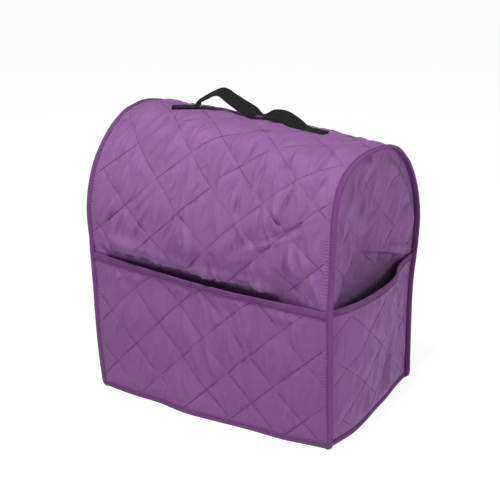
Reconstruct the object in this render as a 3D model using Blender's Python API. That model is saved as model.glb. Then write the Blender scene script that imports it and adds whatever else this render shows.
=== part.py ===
"""A quilted cloth cover for a stand mixer: one long panel over front, top and back, two arched side
panels, a front pocket, a right side pocket, folded tape on every edge and a webbing carry strap.

The long panel is worked out on its flat pattern: x across it, s along it from the front hem, and d
outward from its face. Whatever is sewn into a side seam is placed in the same three numbers."""

import math

import bpy
import numpy as np
from mathutils.geometry import delaunay_2d_cdt

# Driving dimensions, in metres
SIDE_X = 0.1778          # outer face of a side panel at its seam
SEAM_OUT = 0.1865        # outermost edge of a seam binding
BINDING_DEEP = 0.0078    # how far a seam binding reaches in over the cloth
HEM_DEEP = 0.0085
POCKET_BINDING_DEEP = 0.0095
TAPE = 0.0010            # one wall of the folded tape
EDGE = 0.0010            # quilted cloth pressed flat at its edge
LOFT = 0.0003            # what the cloth gains in thickness where nothing presses it
GAP = 0.0003
LAYER = EDGE + GAP
FLAT_X = 0.1733          # outside this the long panel is pressed flat for its seam
FLAT_HEM = 0.0105
POCKET_TOP = 0.1945
HEM_EASE = 0.040         # over this the panel's face turns from upright at a hem to its own slope
SEAM_SPAN = 0.0140       # over this the quilting rises from a flat edge
PILLOW = 0.0023          # rise of the wadding between the stitch lines
PILLOW_INSIDE = 0.0006
PILLOW_SHAPE = 0.6       # below 1 the wadding rises steeply at a stitch line
POCKET_BELLY = 0.0112    # how far the front pocket's top stands off the panel
BELLY_SHAPE = 2.2        # how squarely that belly fills out towards the seams
SWAY = 0.12              # the belly's unevenness across the front, as a share of it
SWAY_LENGTH = 0.060
SWAY_START = 0.6
DEEPEST_TROUGH = 0.0006  # the front pocket's troughs stop here, before they cut through the cloth
POCKET_ROOM = 0.0013     # more room behind the front pocket, for the tape on its top edge
SIDE_POCKET_ROOM = 0.0016
ROOM_LOW = 0.150         # that room starts here
ROOM_SPAN = 0.030
SIDE_POCKET_SHAPE = 0.9  # how evenly the side pocket opens towards its top
BOW_HEIGHT = 0.130       # the side hems' bow has faded out here
SIDE_EASE = 0.030        # over this the side panels' folds rise from the seam
SIDE_POCKET_EASE = 0.020
FOLDS_AT_TOP = 0.35      # share of the side pocket's folds that its taped edge still shows
POCKET_STEP = 0.022      # over this a seam's tape comes down from the pocket's edge to the panel
FOLD_EASE = 0.010        # over this the panel's folds rise from behind a pocket
FOLD_START = 0.002       # how far above the pocket's top they start
FOOT = 0.280             # length of seam that stands upright at the front and at the back
STRAP_WIDTH = 0.0200
STRAP_THICK = 0.0018
CENTRE = (0.0089, -0.0037)   # middle of the whole box, which becomes the origin

CLOTH_EDGE = SEAM_OUT - TAPE - GAP
STEPS_PER_STITCH = 3
FIELD_MARGIN = 0.005     # points inside a sheet keep this far from its edge rows
SIDE_BOX = 0.250         # safely beyond the sides in y, and twice this above them in z
EDGE_START = 0.004       # side quilting starts to rise this far in from the seam

# The long panel's course in section: (y, z) at the left seam, in the middle and at the right seam
COURSE = (
    # station          left              middle            right
    ("front hem",     (-0.1260, 0.0000), (-0.1350, 0.0000), (-0.1220, 0.0000)),
    ("front low",     (-0.1325, 0.0600), (-0.1305, 0.0600), (-0.1270, 0.0600)),
    ("front waist",   (-0.1360, 0.1250), (-0.1240, 0.1250), (-0.1300, 0.1250)),
    ("pocket top",    (-0.1370, 0.1900), (-0.1190, 0.1900), (-0.1330, 0.1900)),
    ("over pocket",   (-0.1385, 0.2140), (-0.1270, 0.2120), (-0.1330, 0.2140)),
    ("front bulge",   (-0.1415, 0.2450), (-0.1410, 0.2400), (-0.1320, 0.2450)),
    ("chest",         (-0.1420, 0.2750), (-0.1420, 0.2750), (-0.1310, 0.2780)),
    ("low shoulder",  (-0.1360, 0.3040), (-0.1360, 0.3050), (-0.1300, 0.3050)),
    ("shoulder",      (-0.1250, 0.3300), (-0.1255, 0.3310), (-0.1260, 0.3290)),
    ("high shoulder", (-0.1080, 0.3530), (-0.1130, 0.3570), (-0.1150, 0.3500)),
    ("slope",         (-0.0850, 0.3740), (-0.0980, 0.3790), (-0.0950, 0.3640)),
    ("high slope",    (-0.0590, 0.3890), (-0.0740, 0.3890), (-0.0710, 0.3720)),
    ("crown front",   (-0.0300, 0.3960), (-0.0380, 0.3915), (-0.0380, 0.3755)),
    ("crown",         (0.0000, 0.3975), (0.0000, 0.3895), (-0.0050, 0.3745)),
    ("crown back",    (0.0310, 0.3920), (0.0320, 0.3845), (0.0260, 0.3710)),
    ("back slope",    (0.0610, 0.3820), (0.0600, 0.3760), (0.0490, 0.3630)),
    ("back high",     (0.0880, 0.3640), (0.0850, 0.3580), (0.0710, 0.3490)),
    ("back shoulder", (0.1090, 0.3390), (0.1060, 0.3360), (0.0900, 0.3330)),
    ("back turn",     (0.1230, 0.3060), (0.1210, 0.3040), (0.1130, 0.3020)),
    ("back upper",    (0.1300, 0.2620), (0.1310, 0.2580), (0.1310, 0.2540)),
    ("back middle",   (0.1310, 0.2150), (0.1360, 0.2120), (0.1300, 0.2120)),
    ("back waist",    (0.1300, 0.1500), (0.1360, 0.1500), (0.1200, 0.1560)),
    ("back low",      (0.1280, 0.0600), (0.1340, 0.0600), (0.1215, 0.0700)),
    ("back hem",      (0.1260, 0.0000), (0.1310, 0.0000), (0.1260, 0.0000)),
)

# Waves of the front hem: place across, half width, how far out. They fade out upwards and outwards.
HEM_WAVE_HEIGHT = 0.090
HEM_WAVE_END = 0.120
HEM_WAVE_SPAN = 0.045
HEM_WAVES = (
    (-0.085, 0.030, -0.0030),
    (-0.030, 0.030, 0.0020),
    (0.060, 0.040, -0.0018),
    (0.120, 0.030, 0.0016),
)

# Folds: place on the face (two numbers), half length, half width, turn in degrees, rise
PANEL_FOLDS = (
    (-0.110, 0.233, 0.055, 0.009, -6, 0.0070),
    (-0.120, 0.210, 0.050, 0.007, -4, -0.0035),
    (-0.015, 0.221, 0.042, 0.010, -6, 0.0085),
    (0.065, 0.214, 0.040, 0.009, -6, 0.0055),
    (-0.100, 0.236, 0.045, 0.013, 8, 0.0030),
    (0.055, 0.262, 0.032, 0.009, 38, -0.0040),
    (0.095, 0.275, 0.040, 0.012, 70, -0.0030),
    (0.020, 0.292, 0.045, 0.008, 75, 0.0022),
    (-0.035, 0.300, 0.050, 0.009, 78, 0.0022),
    (0.130, 0.250, 0.045, 0.014, 25, 0.0030),
    (-0.140, 0.400, 0.030, 0.010, 30, -0.0028),
    (0.015, 0.420, 0.055, 0.012, 85, -0.0020),
    (0.120, 0.430, 0.060, 0.014, 95, -0.0025),
)
FRONT_POCKET_FOLDS = (
    (-0.012, 0.075, 0.050, 0.008, 105, 0.0024),
    (-0.045, 0.085, 0.045, 0.008, 100, -0.0016),
    (0.028, 0.060, 0.045, 0.009, 84, -0.0018),
    (0.060, 0.130, 0.040, 0.010, 70, 0.0018),
    (-0.110, 0.120, 0.060, 0.014, 30, 0.0016),
)
RIGHT_SIDE_FOLDS = (
    (-0.025, 0.236, 0.042, 0.024, 25, -0.0150),
    (0.030, 0.215, 0.060, 0.022, -12, -0.0100),
    (0.000, 0.290, 0.070, 0.050, 0, -0.0060),
    (-0.075, 0.215, 0.040, 0.012, 62, -0.0080),
    (-0.085, 0.270, 0.060, 0.020, 85, 0.0025),
    (0.060, 0.290, 0.060, 0.012, -50, 0.0030),
    (0.060, 0.2200, 0.046, 0.008, -17, 0.0070),
    (0.060, 0.2050, 0.044, 0.009, -17, -0.0060),
    (0.046, 0.3380, 0.028, 0.009, -33, 0.0070),
    (0.078, 0.3060, 0.030, 0.009, -53, 0.0085),
    (0.103, 0.2620, 0.032, 0.009, -73, 0.0085),
)
LEFT_SIDE_FOLDS = (
    (-0.020, 0.220, 0.070, 0.045, 0, -0.0060),
    (0.050, 0.120, 0.060, 0.040, 0, 0.0040),
    (-0.060, 0.080, 0.070, 0.020, 80, -0.0030),
)
SIDE_POCKET_FOLDS = (
    (0.090, 0.095, 0.090, 0.009, 98, 0.0045),
    (0.108, 0.090, 0.090, 0.008, 97, -0.0030),
    (0.024, 0.050, 0.050, 0.011, 75, -0.0070),
    (0.044, 0.050, 0.055, 0.010, 74, 0.0035),
    (-0.060, 0.100, 0.060, 0.018, 100, 0.0020),
)

# How far the right hem bows out, and where the side pocket's top edge runs: place along y, x
LEFT_BOW = 0.6           # the left hem's bow beside the right one's
SIDE_HEM_BOW = ((-0.124, 0.0), (-0.100, 0.0042), (-0.072, 0.0092), (-0.035, 0.0097),
                (0.005, 0.0072), (0.050, 0.0052), (0.090, 0.0014), (0.127, 0.0))
SIDE_POCKET_EDGE = ((-0.132, 0.1800), (-0.122, 0.1825), (-0.105, 0.1905), (-0.080, 0.1975),
                    (-0.046, 0.2015), (-0.012, 0.2030), (0.0145, 0.2010), (0.035, 0.1970),
                    (0.052, 0.1900), (0.070, 0.1850), (0.090, 0.1820), (0.107, 0.1808),
                    (0.130, 0.1800))

# The strap: place along x and y, height of its middle over the crown, turn in degrees
STRAP_COURSE = (
    ("left end",     -0.1230, -0.0260, 0.0000, 0),
    ("left tab",     -0.1090, -0.0180, 0.0000, 0),
    ("left stitch",  -0.0960, -0.0080, 0.0002, 0),
    ("left rise",    -0.0900, -0.0030, 0.0095, 8),
    ("left shoulder", -0.0790, 0.0000, 0.0175, 18),
    ("first peak",   -0.0590, 0.0000, 0.0262, 25),
    ("first fall",   -0.0400, -0.0010, 0.0190, 35),
    ("low fall",     -0.0220, -0.0020, 0.0120, 42),
    ("dip",          -0.0070, -0.0020, 0.0078, 30),
    ("twist",        0.0040, -0.0010, 0.0058, -8),
    ("second peak",  0.0200, 0.0000, 0.0085, 25),
    ("second fall",  0.0380, 0.0000, 0.0078, 42),
    ("low end",      0.0560, 0.0000, 0.0046, 26),
    ("right stitch", 0.0740, 0.0000, 0.0002, 0),
    ("right tab",    0.0880, 0.0000, 0.0000, 0),
    ("right end",    0.1020, 0.0000, 0.0000, 0),
)
TABS = ((-0.109, -0.017, 0.030), (0.088, 0.000, 0.032))   # x, y and half length pressed flat
TAB_HALF_WIDTH = 0.019
TAB_REACH = 1.6          # in half sizes of the tab: outside this nothing is pressed
TAB_SPAN = 0.5
TAB_STRETCH = (0.40, 0.62)       # the only stretch of s that the tabs press
CROWN_STRETCH = (0.38, 0.64)     # the stretch of s whose heights the strap follows
CROWN_STEPS = 200
STRAP_LIFT = 0.0006      # clearance between the webbing and the pressed cloth
STRAP_CLEAR = 0.0005
STRAP_RINGS = 44
STRAP_EASE_RINGS = 5

PURPLE = (0.236, 0.104, 0.266)
DARK_PURPLE = (0.170, 0.052, 0.192)
BLACK = (0.012, 0.012, 0.013)


def smooth(t):
    t = np.clip(t, 0.0, 1.0)
    return t * t * (3.0 - 2.0 * t)


def curve_through(knots, points, t):
    """A smooth curve through points at knots, read at t."""
    points = np.asarray(points, float)
    slopes = np.gradient(points, knots, axis=0)
    t = np.clip(t, knots[0], knots[-1])
    i = np.clip(np.searchsorted(knots, t, side="right") - 1, 0, len(knots) - 2)
    span = knots[i + 1] - knots[i]
    f = (t - knots[i]) / span
    shape = f.shape + (1,) * (points.ndim - 1)
    f = f.reshape(shape)
    span = span.reshape(shape)
    start = (2 * f**3 - 3 * f**2 + 1) * points[i] + (f**3 - 2 * f**2 + f) * span * slopes[i]
    end = (3 * f**2 - 2 * f**3) * points[i + 1] + (f**3 - f**2) * span * slopes[i + 1]
    return start + end


SECTIONS = np.array([row[1:] for row in COURSE])
MIDDLE_STEPS = np.linalg.norm(np.diff(SECTIONS[:, 1], axis=0), axis=1)
COURSE_S = np.concatenate([[0.0], np.cumsum(MIDDLE_STEPS)])
LENGTH = float(COURSE_S[-1])


def course_point(x, s):
    """(y, z) of the long panel's face, from a parabola across its three sections."""
    left, middle, right = np.moveaxis(curve_through(COURSE_S, SECTIONS, s), -2, 0)
    across = (np.clip(x, -FLAT_X, FLAT_X) / FLAT_X)[..., None]
    point = 0.5 * across * (across - 1) * left + (1 - across**2) * middle
    point = point + 0.5 * across * (across + 1) * right
    fade = (1 - smooth(s / HEM_WAVE_HEIGHT)) * (1 - smooth((np.abs(x) - HEM_WAVE_END) / HEM_WAVE_SPAN))
    for place, half_width, out in HEM_WAVES:
        point[..., 0] -= out * np.exp(-((x - place) / half_width) ** 2) * fade
    return point


def wrap(x, s, d):
    """The point at x and s on the long panel's pattern, d outward from its face."""
    x, s, d = np.broadcast_arrays(*(np.asarray(value, float) for value in (x, s, d)))
    step = 0.0005
    point = course_point(x, s)
    along = course_point(x, np.minimum(s + step, LENGTH)) - course_point(x, np.maximum(s - step, 0))
    outward = np.stack([-along[..., 1], along[..., 0]], axis=-1)
    from_hem = np.minimum(s, LENGTH - s)
    outward[..., 1] *= smooth((from_hem - FLAT_HEM) / HEM_EASE)
    outward /= np.linalg.norm(outward, axis=-1, keepdims=True)
    point = point + outward * d[..., None]
    return np.stack([x, point[..., 0], point[..., 1]], axis=-1)


def folds(table, u, v):
    """Soft ridges and troughs at the rows of a table."""
    rise = np.zeros_like(u)
    for place_u, place_v, half_length, half_width, turn, height in table:
        angle = math.radians(turn)
        along = (u - place_u) * math.cos(angle) + (v - place_v) * math.sin(angle)
        across = (v - place_v) * math.cos(angle) - (u - place_u) * math.sin(angle)
        rise = rise + height * np.exp(-((along / half_length) ** 2) - (across / half_width) ** 2)
    return rise


class Quilting:
    """Two families of straight stitch lines, one rising and one falling across a pattern."""

    def __init__(self, crossing, slope, pitch, rising_nudges=(), falling_nudges=()):
        u, v = crossing
        self.slope = slope
        self.lines = np.arange(-30, 31)
        self.rising_at = v - slope * u + pitch * self.lines.astype(float)
        self.falling_at = v + slope * u + pitch * self.lines.astype(float)
        for places, nudges in ((self.rising_at, rising_nudges), (self.falling_at, falling_nudges)):
            for line, shift in nudges:
                places[self.lines == line] += shift

    def spot(self, p, q):
        """Pattern point at line numbers p and q."""
        rising = np.interp(p, self.lines, self.rising_at)
        falling = np.interp(q, self.lines, self.falling_at)
        u = (falling - rising) / (2 * self.slope)
        return u, self.slope * u + rising

    def puff(self, u, v):
        """0 on a stitch line and near 1 in the middle of a diamond."""
        p = np.interp(v - self.slope * u, self.rising_at, self.lines)
        q = np.interp(v + self.slope * u, self.falling_at, self.lines)
        return (np.abs(np.sin(math.pi * p)) * np.abs(np.sin(math.pi * q))) ** PILLOW_SHAPE


PANEL_QUILT = Quilting((-0.035, 0.287), 0.93, 0.0775,
                       rising_nudges=((-3, 0.010), (-2, 0.014), (-1, 0.0035), (0, 0.008), (1, 0.008),
                                      (2, 0.016), (3, 0.012), (4, 0.006)),
                       falling_nudges=((-1, 0.004), (0, 0.007), (1, 0.009), (2, -0.005), (3, -0.007)))
POCKET_QUILT = Quilting((0.0012, 0.0437), 0.97, 0.0755, rising_nudges=((-1, 0.006),),
                        falling_nudges=((-2, 0.006), (1, -0.011), (2, -0.023), (3, -0.009)))
SIDE_QUILT = Quilting((-0.0268, 0.2515), 0.85, 0.0780)
SIDE_POCKET_QUILT = Quilting((-0.0026, 0.1055), 0.80, 0.0740)


def seam_stations():
    """Places along the seams where every piece in them has points: close together over the arch."""
    front = [0.0, TAPE + GAP, FLAT_HEM, 0.034, 0.058, 0.082, 0.106, 0.128, 0.148, 0.166]
    pocket = [POCKET_TOP - POCKET_BINDING_DEEP, POCKET_TOP, POCKET_TOP + TAPE + GAP]
    arch = np.linspace(0.208, LENGTH - 0.215, 56)
    from_back_hem = (0.202, 0.188, 0.174, 0.158, 0.140, 0.120, 0.096, 0.070, 0.046, 0.024)
    back = [LENGTH - value for value in from_back_hem]
    last = [LENGTH - FLAT_HEM, LENGTH - TAPE - GAP, LENGTH]
    return np.array([*front, *pocket, *arch, *back, *last])


STATIONS = seam_stations()
CLOTH_STATIONS = STATIONS[1:-1]
HEM_X = np.linspace(-FLAT_X, FLAT_X, 15)
SIDE_Y = np.linspace(-0.104, 0.108, 19)


def triangulate(points, edges, outline):
    """Triangles over the pattern points that keep the given edges, inside one outline."""
    coords = [tuple(point) for point in points]
    result = delaunay_2d_cdt(coords, edges, [outline], 1, 1e-7)
    if len(result[0]) != len(coords):
        raise ValueError("the pattern's edges cross or its points meet")
    order = [sources[0] for sources in result[3]]
    triangles = []
    for face in result[2]:
        a, b, c = (order[index] for index in face)
        triangles.append((a, b, c))
    return triangles


def stitch_points(quilt, box, inside):
    """Points along the stitch lines and inside the diamonds, with the edges that follow a stitch line."""
    (u0, v0), (u1, v1) = box
    found = {}
    points = []
    span = len(quilt.lines) // 2
    for i in range(-span * STEPS_PER_STITCH, span * STEPS_PER_STITCH + 1):
        for j in range(-span * STEPS_PER_STITCH, span * STEPS_PER_STITCH + 1):
            u, v = quilt.spot(i / STEPS_PER_STITCH, j / STEPS_PER_STITCH)
            if u0 < u < u1 and v0 < v < v1 and inside(u, v):
                found[i, j] = len(points)
                points.append((float(u), float(v)))
    edges = []
    for (i, j), index in found.items():
        if i % STEPS_PER_STITCH == 0 and (i, j + 1) in found:
            edges.append((index, found[i, j + 1]))
        if j % STEPS_PER_STITCH == 0 and (i + 1, j) in found:
            edges.append((index, found[i + 1, j]))
    return points, edges


def ring_edges(indices, closed=True):
    pairs = list(zip(indices, indices[1:]))
    if closed:
        pairs.append((indices[-1], indices[0]))
    return pairs


def build_mesh(name, points, faces, material):
    """One named object at the origin, moved so that the whole cover's box is centred."""
    points = np.asarray(points, float) - np.array([CENTRE[0], CENTRE[1], 0.0])
    corners = points[np.array([face[:3] for face in faces])]
    volume = np.einsum("ij,ij->i", corners[:, 0], np.cross(corners[:, 1], corners[:, 2])).sum()
    if volume < 0:
        faces = [tuple(reversed(face)) for face in faces]
    mesh = bpy.data.meshes.new(name)
    mesh.from_pydata(points.tolist(), [], faces)
    mesh.materials.append(material)
    mesh.shade_smooth()
    mesh.set_sharp_from_angle(angle=math.radians(50))
    part = bpy.data.objects.new(name, mesh)
    bpy.context.scene.collection.objects.link(part)
    return part


def build_sheet(name, outer, inner, triangles, material):
    """A closed sheet between its outer and its inner points, walled along its open edge."""
    count = len(outer)
    used = {}
    for a, b, c in triangles:
        for pair in ((a, b), (b, c), (c, a)):
            used[pair] = True
    faces = [tuple(face) for face in triangles]
    faces += [(a + count, c + count, b + count) for a, b, c in triangles]
    for a, b in used:
        if (b, a) not in used:
            faces.append((b, a, a + count))
            faces.append((b, a + count, b + count))
    return build_mesh(name, np.concatenate([outer, inner]), faces, material)


def build_binding(name, rings, material):
    """Folded tape: rings of eight points around a U, in order, with both ends closed."""
    points = np.concatenate(rings)
    faces = []
    for start in range(0, 8 * (len(rings) - 1), 8):
        for k in range(8):
            a, b = start + k, start + (k + 1) % 8
            faces.append((a, b, b + 8))
            faces.append((a, b + 8, a + 8))
    last = 8 * (len(rings) - 1)
    for a, b, c, d in ((0, 1, 6, 7), (1, 2, 5, 6), (2, 3, 4, 5)):
        faces.append((c, b, a))
        faces.append((d, c, a))
        faces.append((last + a, last + b, last + c))
        faces.append((last + a, last + c, last + d))
    return build_mesh(name, points, faces, material)


def u_section(deep, outer, inner):
    """Eight (depth, offset) pairs around a folded tape whose walls' inner faces lie at outer and inner."""
    top, bottom = outer + TAPE, inner - TAPE
    return ((deep, top), (0.0, top), (0.0, bottom), (deep, bottom),
            (deep, inner), (TAPE, inner), (TAPE, outer), (deep, outer))


def flat_edge(value, limit):
    """0 at a pressed edge, rising to 1 inside it."""
    return smooth((limit - value) / SEAM_SPAN)


def tab_press(x, s):
    """1 where a strap end is sewn down on the crown, which presses the quilting flat."""
    y = course_point(x, s)[..., 0]
    press = np.zeros_like(x)
    for tab_x, tab_y, half_length in TABS:
        near = np.maximum(np.abs(x - tab_x) / half_length, np.abs(y - tab_y) / TAB_HALF_WIDTH)
        press = np.maximum(press, smooth((TAB_REACH - near) / TAB_SPAN))
    return press * ((s > TAB_STRETCH[0]) & (s < TAB_STRETCH[1]))


def panel_offsets(x, s):
    """Outer and inner offset of the long panel from its smooth course."""
    edge = flat_edge(np.abs(x), FLAT_X) * flat_edge(-np.minimum(s, LENGTH - s), -FLAT_HEM)
    free = edge * smooth((s - POCKET_TOP - FOLD_START) / FOLD_EASE) * (1 - tab_press(x, s))
    puff = PANEL_QUILT.puff(x, s) * free
    rise = folds(PANEL_FOLDS, x, s) * free
    return rise + PILLOW * puff, rise - EDGE - PILLOW_INSIDE * puff - LOFT * edge


def rectangle_pattern(quilt, stations):
    """A sheet between both seams: its edge, a row just inside it, and its quilting."""
    rim = [(-CLOTH_EDGE, s) for s in stations]
    rim += [(x, stations[-1]) for x in HEM_X]
    rim += [(CLOTH_EDGE, s) for s in stations[::-1]]
    rim += [(x, stations[0]) for x in HEM_X[::-1]]
    rows = stations[1:-1]
    inner_rim = [(-FLAT_X, s) for s in rows]
    inner_rim += [(x, rows[-1]) for x in HEM_X[1:-1]]
    inner_rim += [(FLAT_X, s) for s in rows[::-1]]
    inner_rim += [(x, rows[0]) for x in HEM_X[-2:0:-1]]
    box = ((-FLAT_X + FIELD_MARGIN, rows[0] + FIELD_MARGIN), (FLAT_X - FIELD_MARGIN, rows[-1] - FIELD_MARGIN))
    field, stitches = stitch_points(quilt, box, lambda u, v: True)
    start = len(rim)
    base = start + len(inner_rim)
    edges = ring_edges(list(range(start, base)))
    edges += [(a + base, b + base) for a, b in stitches]
    points = rim + inner_rim + field
    triangles = triangulate(points, edges, list(range(len(rim)))[::-1])
    x, s = np.array(points).T
    return x, s, triangles


def main_panel(material):
    x, s, triangles = rectangle_pattern(PANEL_QUILT, CLOTH_STATIONS)
    outer, inner = panel_offsets(x, s)
    return build_sheet("main_panel", wrap(x, s, outer), wrap(x, s, inner), triangles, material)


def front_pocket_base(x, s):
    """Offset of the pocket's inner face from the panel's course."""
    room = POCKET_ROOM * smooth((s - ROOM_LOW) / ROOM_SPAN)
    belly = (1 - np.clip(np.abs(x) / FLAT_X, 0, 1) ** BELLY_SHAPE) * smooth(s / POCKET_TOP)
    sway = 1 + SWAY * np.sin(x / SWAY_LENGTH + SWAY_START)
    return GAP + room + POCKET_BELLY * belly * sway


def front_pocket_offsets(x, s):
    edge = flat_edge(np.abs(x), FLAT_X) * flat_edge(-s, -FLAT_HEM)
    edge = edge * flat_edge(s, POCKET_TOP - POCKET_BINDING_DEEP)
    inner = front_pocket_base(x, s)
    creased = np.maximum(folds(FRONT_POCKET_FOLDS, x, s), -DEEPEST_TROUGH)
    return inner + EDGE + edge * (LOFT + PILLOW * POCKET_QUILT.puff(x, s) + creased), inner


def front_pocket(material):
    x, s, triangles = rectangle_pattern(POCKET_QUILT, CLOTH_STATIONS[CLOTH_STATIONS < POCKET_TOP + GAP])
    outer, inner = front_pocket_offsets(x, s)
    return build_sheet("front_pocket", wrap(x, s, outer), wrap(x, s, inner), triangles, material)


def front_pocket_binding(material):
    ends = SEAM_OUT - BINDING_DEEP - GAP
    rings = []
    for x in [-ends, *HEM_X, ends]:
        ring = []
        for deep, offset in u_section(POCKET_BINDING_DEEP + TAPE + GAP, EDGE + GAP, -GAP):
            s = POCKET_TOP + TAPE + GAP - deep
            base = front_pocket_base(np.float64(x), np.float64(min(s, POCKET_TOP)))
            ring.append(wrap(x, s, base + offset))
        rings.append(np.array(ring))
    return build_binding("front_pocket_binding", rings, material)


def seam_binding(name, side, material):
    """Tape folded over one side seam, from the front hem over the top to the back hem."""
    rings = []
    x_edge = np.float64(CLOTH_EDGE)
    for s in STATIONS:
        in_pocket = 1 - smooth((s - POCKET_TOP - TAPE - GAP) / POCKET_STEP)
        pocket_face = front_pocket_base(x_edge, np.float64(min(s, POCKET_TOP))) + EDGE
        outer = GAP + in_pocket * pocket_face
        ring = []
        for deep, offset in u_section(BINDING_DEEP, outer, -EDGE - LAYER - GAP):
            ring.append(wrap(side * (SEAM_OUT - deep), s, offset))
        rings.append(np.array(ring))
    return build_binding(name, rings, material)


def hem_binding_long(name, back, material):
    """Tape under the front or back hem, between the two seam bindings."""
    outer = GAP if back else GAP + LAYER
    outer_end = SEAM_OUT - BINDING_DEEP - GAP
    inner_end = SIDE_X - EDGE - 2 * GAP
    rings = []
    for x in [-outer_end, *HEM_X, outer_end]:
        ring = []
        for deep, offset in u_section(HEM_DEEP, outer, -EDGE - GAP):
            end = outer_end if offset > -EDGE else inner_end
            s = LENGTH - deep if back else deep
            ring.append(wrap(np.clip(x, -end, end), s, offset))
        rings.append(np.array(ring))
    return build_binding(name, rings, material)


def side_limit(s, extra, side=1):
    """(y, z) just inside a seam binding's inner wall."""
    return wrap(side * SIDE_X, s, -EDGE - LAYER - GAP - TAPE - extra)[..., 1:]


def seam_limits(side, extra):
    """Tables of z against y along a seam, up its front and up its back."""
    front = side_limit(STATIONS[STATIONS < FOOT], extra, side)
    back = side_limit(STATIONS[STATIONS > LENGTH - FOOT], extra, side)[::-1]
    return {"front": (front[:, 1], front[:, 0]), "back": (back[:, 1], back[:, 0])}


CLOTH_ENDS = {side: seam_limits(side, -GAP - TAPE) for side in (1, -1)}
TAPE_ENDS = {side: seam_limits(side, 1.5 * GAP) for side in (1, -1)}


def loop_distance(side, y, z):
    """How far (y, z) lies inside the side panel's seam."""
    loop = wrap(side * SIDE_X, STATIONS, -EDGE - LAYER)[:, 1:]
    start, end = loop[:-1], loop[1:]
    line = end - start
    here = np.stack([y, z], axis=-1)[..., None, :] - start
    t = np.clip((here * line).sum(-1) / (line * line).sum(-1), 0, 1)
    return np.linalg.norm(here - t[..., None] * line, axis=-1).min(-1)


def from_table(table, y):
    """A smooth table read at the shared places along a side, and straight between them."""
    places, values = np.array(table).T
    knots = np.array([places[0], *SIDE_Y, places[-1]])
    return np.interp(y, knots, curve_through(places, values, knots))


def side_x(side, y, z):
    """How far out the side panel's outer face lies, without its quilting."""
    inside = smooth(loop_distance(side, y, z) / SIDE_EASE)
    table = RIGHT_SIDE_FOLDS if side > 0 else LEFT_SIDE_FOLDS
    ends = CLOTH_ENDS[side]
    front_y = np.interp(z, *ends["front"])
    back_y = np.interp(z, *ends["back"])
    from_front = (y - front_y) / (SIDE_Y[0] - front_y)
    from_back = (back_y - y) / (back_y - SIDE_Y[-1])
    bow = from_table(SIDE_HEM_BOW, np.clip(y, SIDE_Y[0], SIDE_Y[-1])) * (1 - smooth(z / BOW_HEIGHT))
    bow = bow * np.clip(np.minimum(from_front, from_back), 0, 1)
    strength = 1.0 if side > 0 else LEFT_BOW
    return SIDE_X + inside * folds(table, y, z) + strength * bow


def side_panel(name, side, material):
    loop_s = CLOTH_STATIONS
    outer_loop = wrap(side * SIDE_X, loop_s, -EDGE - LAYER)
    inner_loop = wrap(side * (SIDE_X - EDGE), loop_s, -LAYER)
    hem = [(y, TAPE + GAP) for y in SIDE_Y[::-1]]
    loop = [(float(y), float(z)) for y, z in outer_loop[:, 1:]]
    strip = [(y, FLAT_HEM) for y in SIDE_Y]
    outline = loop + hem

    def inside(y, z):
        return in_outline(y, z, loop) and loop_distance(side, np.float64(y), np.float64(z)) > FIELD_MARGIN

    box = ((-SIDE_BOX, FLAT_HEM + FIELD_MARGIN), (SIDE_BOX, 2 * SIDE_BOX))
    field, stitches = stitch_points(SIDE_QUILT, box, inside)
    points = outline + strip + field
    base = len(outline)
    edges = ring_edges([1, *range(base, base + len(strip)), len(loop) - 2], closed=False)
    field_base = base + len(strip)
    edges += [(a + field_base, b + field_base) for a, b in stitches]
    triangles = triangulate(points, edges, list(range(len(outline))))
    y, z = np.array(points).T
    edge = smooth((loop_distance(side, y, z) - EDGE_START) / SEAM_SPAN) * flat_edge(-z, -FLAT_HEM)
    above_pocket = smooth((z - POCKET_TOP - FOLD_START) / FOLD_EASE) if side > 0 else 1.0
    puff = SIDE_QUILT.puff(y, z) * edge * above_pocket
    x = side_x(side, y, z)
    outer = np.stack([side * (x + PILLOW * puff), y, z], axis=-1)
    inner = np.stack([side * (x - EDGE - LOFT * edge - PILLOW_INSIDE * puff), y, z], axis=-1)
    outer[: len(loop)] = outer_loop
    inner[: len(loop)] = inner_loop
    rim = np.arange(len(loop)) + len(points)
    outer = np.concatenate([outer, wrap(side * CLOTH_EDGE, loop_s, -EDGE - LAYER)])
    inner = np.concatenate([inner, wrap(side * CLOTH_EDGE, loop_s, -LAYER)])
    for i in range(len(loop) - 1):
        triangles.append((i + 1, i, int(rim[i])))
        triangles.append((i + 1, int(rim[i]), int(rim[i + 1])))
    triangles = one_way_round(triangles)
    return build_sheet(name, outer, inner, triangles, material)


def in_outline(y, z, loop):
    """Whether a point lies inside the closed outline."""
    inside = False
    for (y0, z0), (y1, z1) in zip(loop, loop[1:] + loop[:1]):
        if (z0 > z) != (z1 > z) and y < (y1 - y0) * (z - z0) / (z1 - z0) + y0:
            inside = not inside
    return inside


def one_way_round(triangles):
    """Turns each triangle so that neighbours agree, starting from the first."""
    sides = {}
    for index, (a, b, c) in enumerate(triangles):
        for pair in ((a, b), (b, c), (c, a)):
            sides.setdefault(frozenset(pair), []).append(index)
    done = {0}
    queue = [0]
    turned = [tuple(face) for face in triangles]
    while queue:
        index = queue.pop()
        a, b, c = turned[index]
        for pair in ((a, b), (b, c), (c, a)):
            for other in sides[frozenset(pair)]:
                if other in done:
                    continue
                d, e, f = turned[other]
                if pair in ((d, e), (e, f), (f, d)):
                    turned[other] = (f, e, d)
                done.add(other)
                queue.append(other)
    return turned


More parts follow.
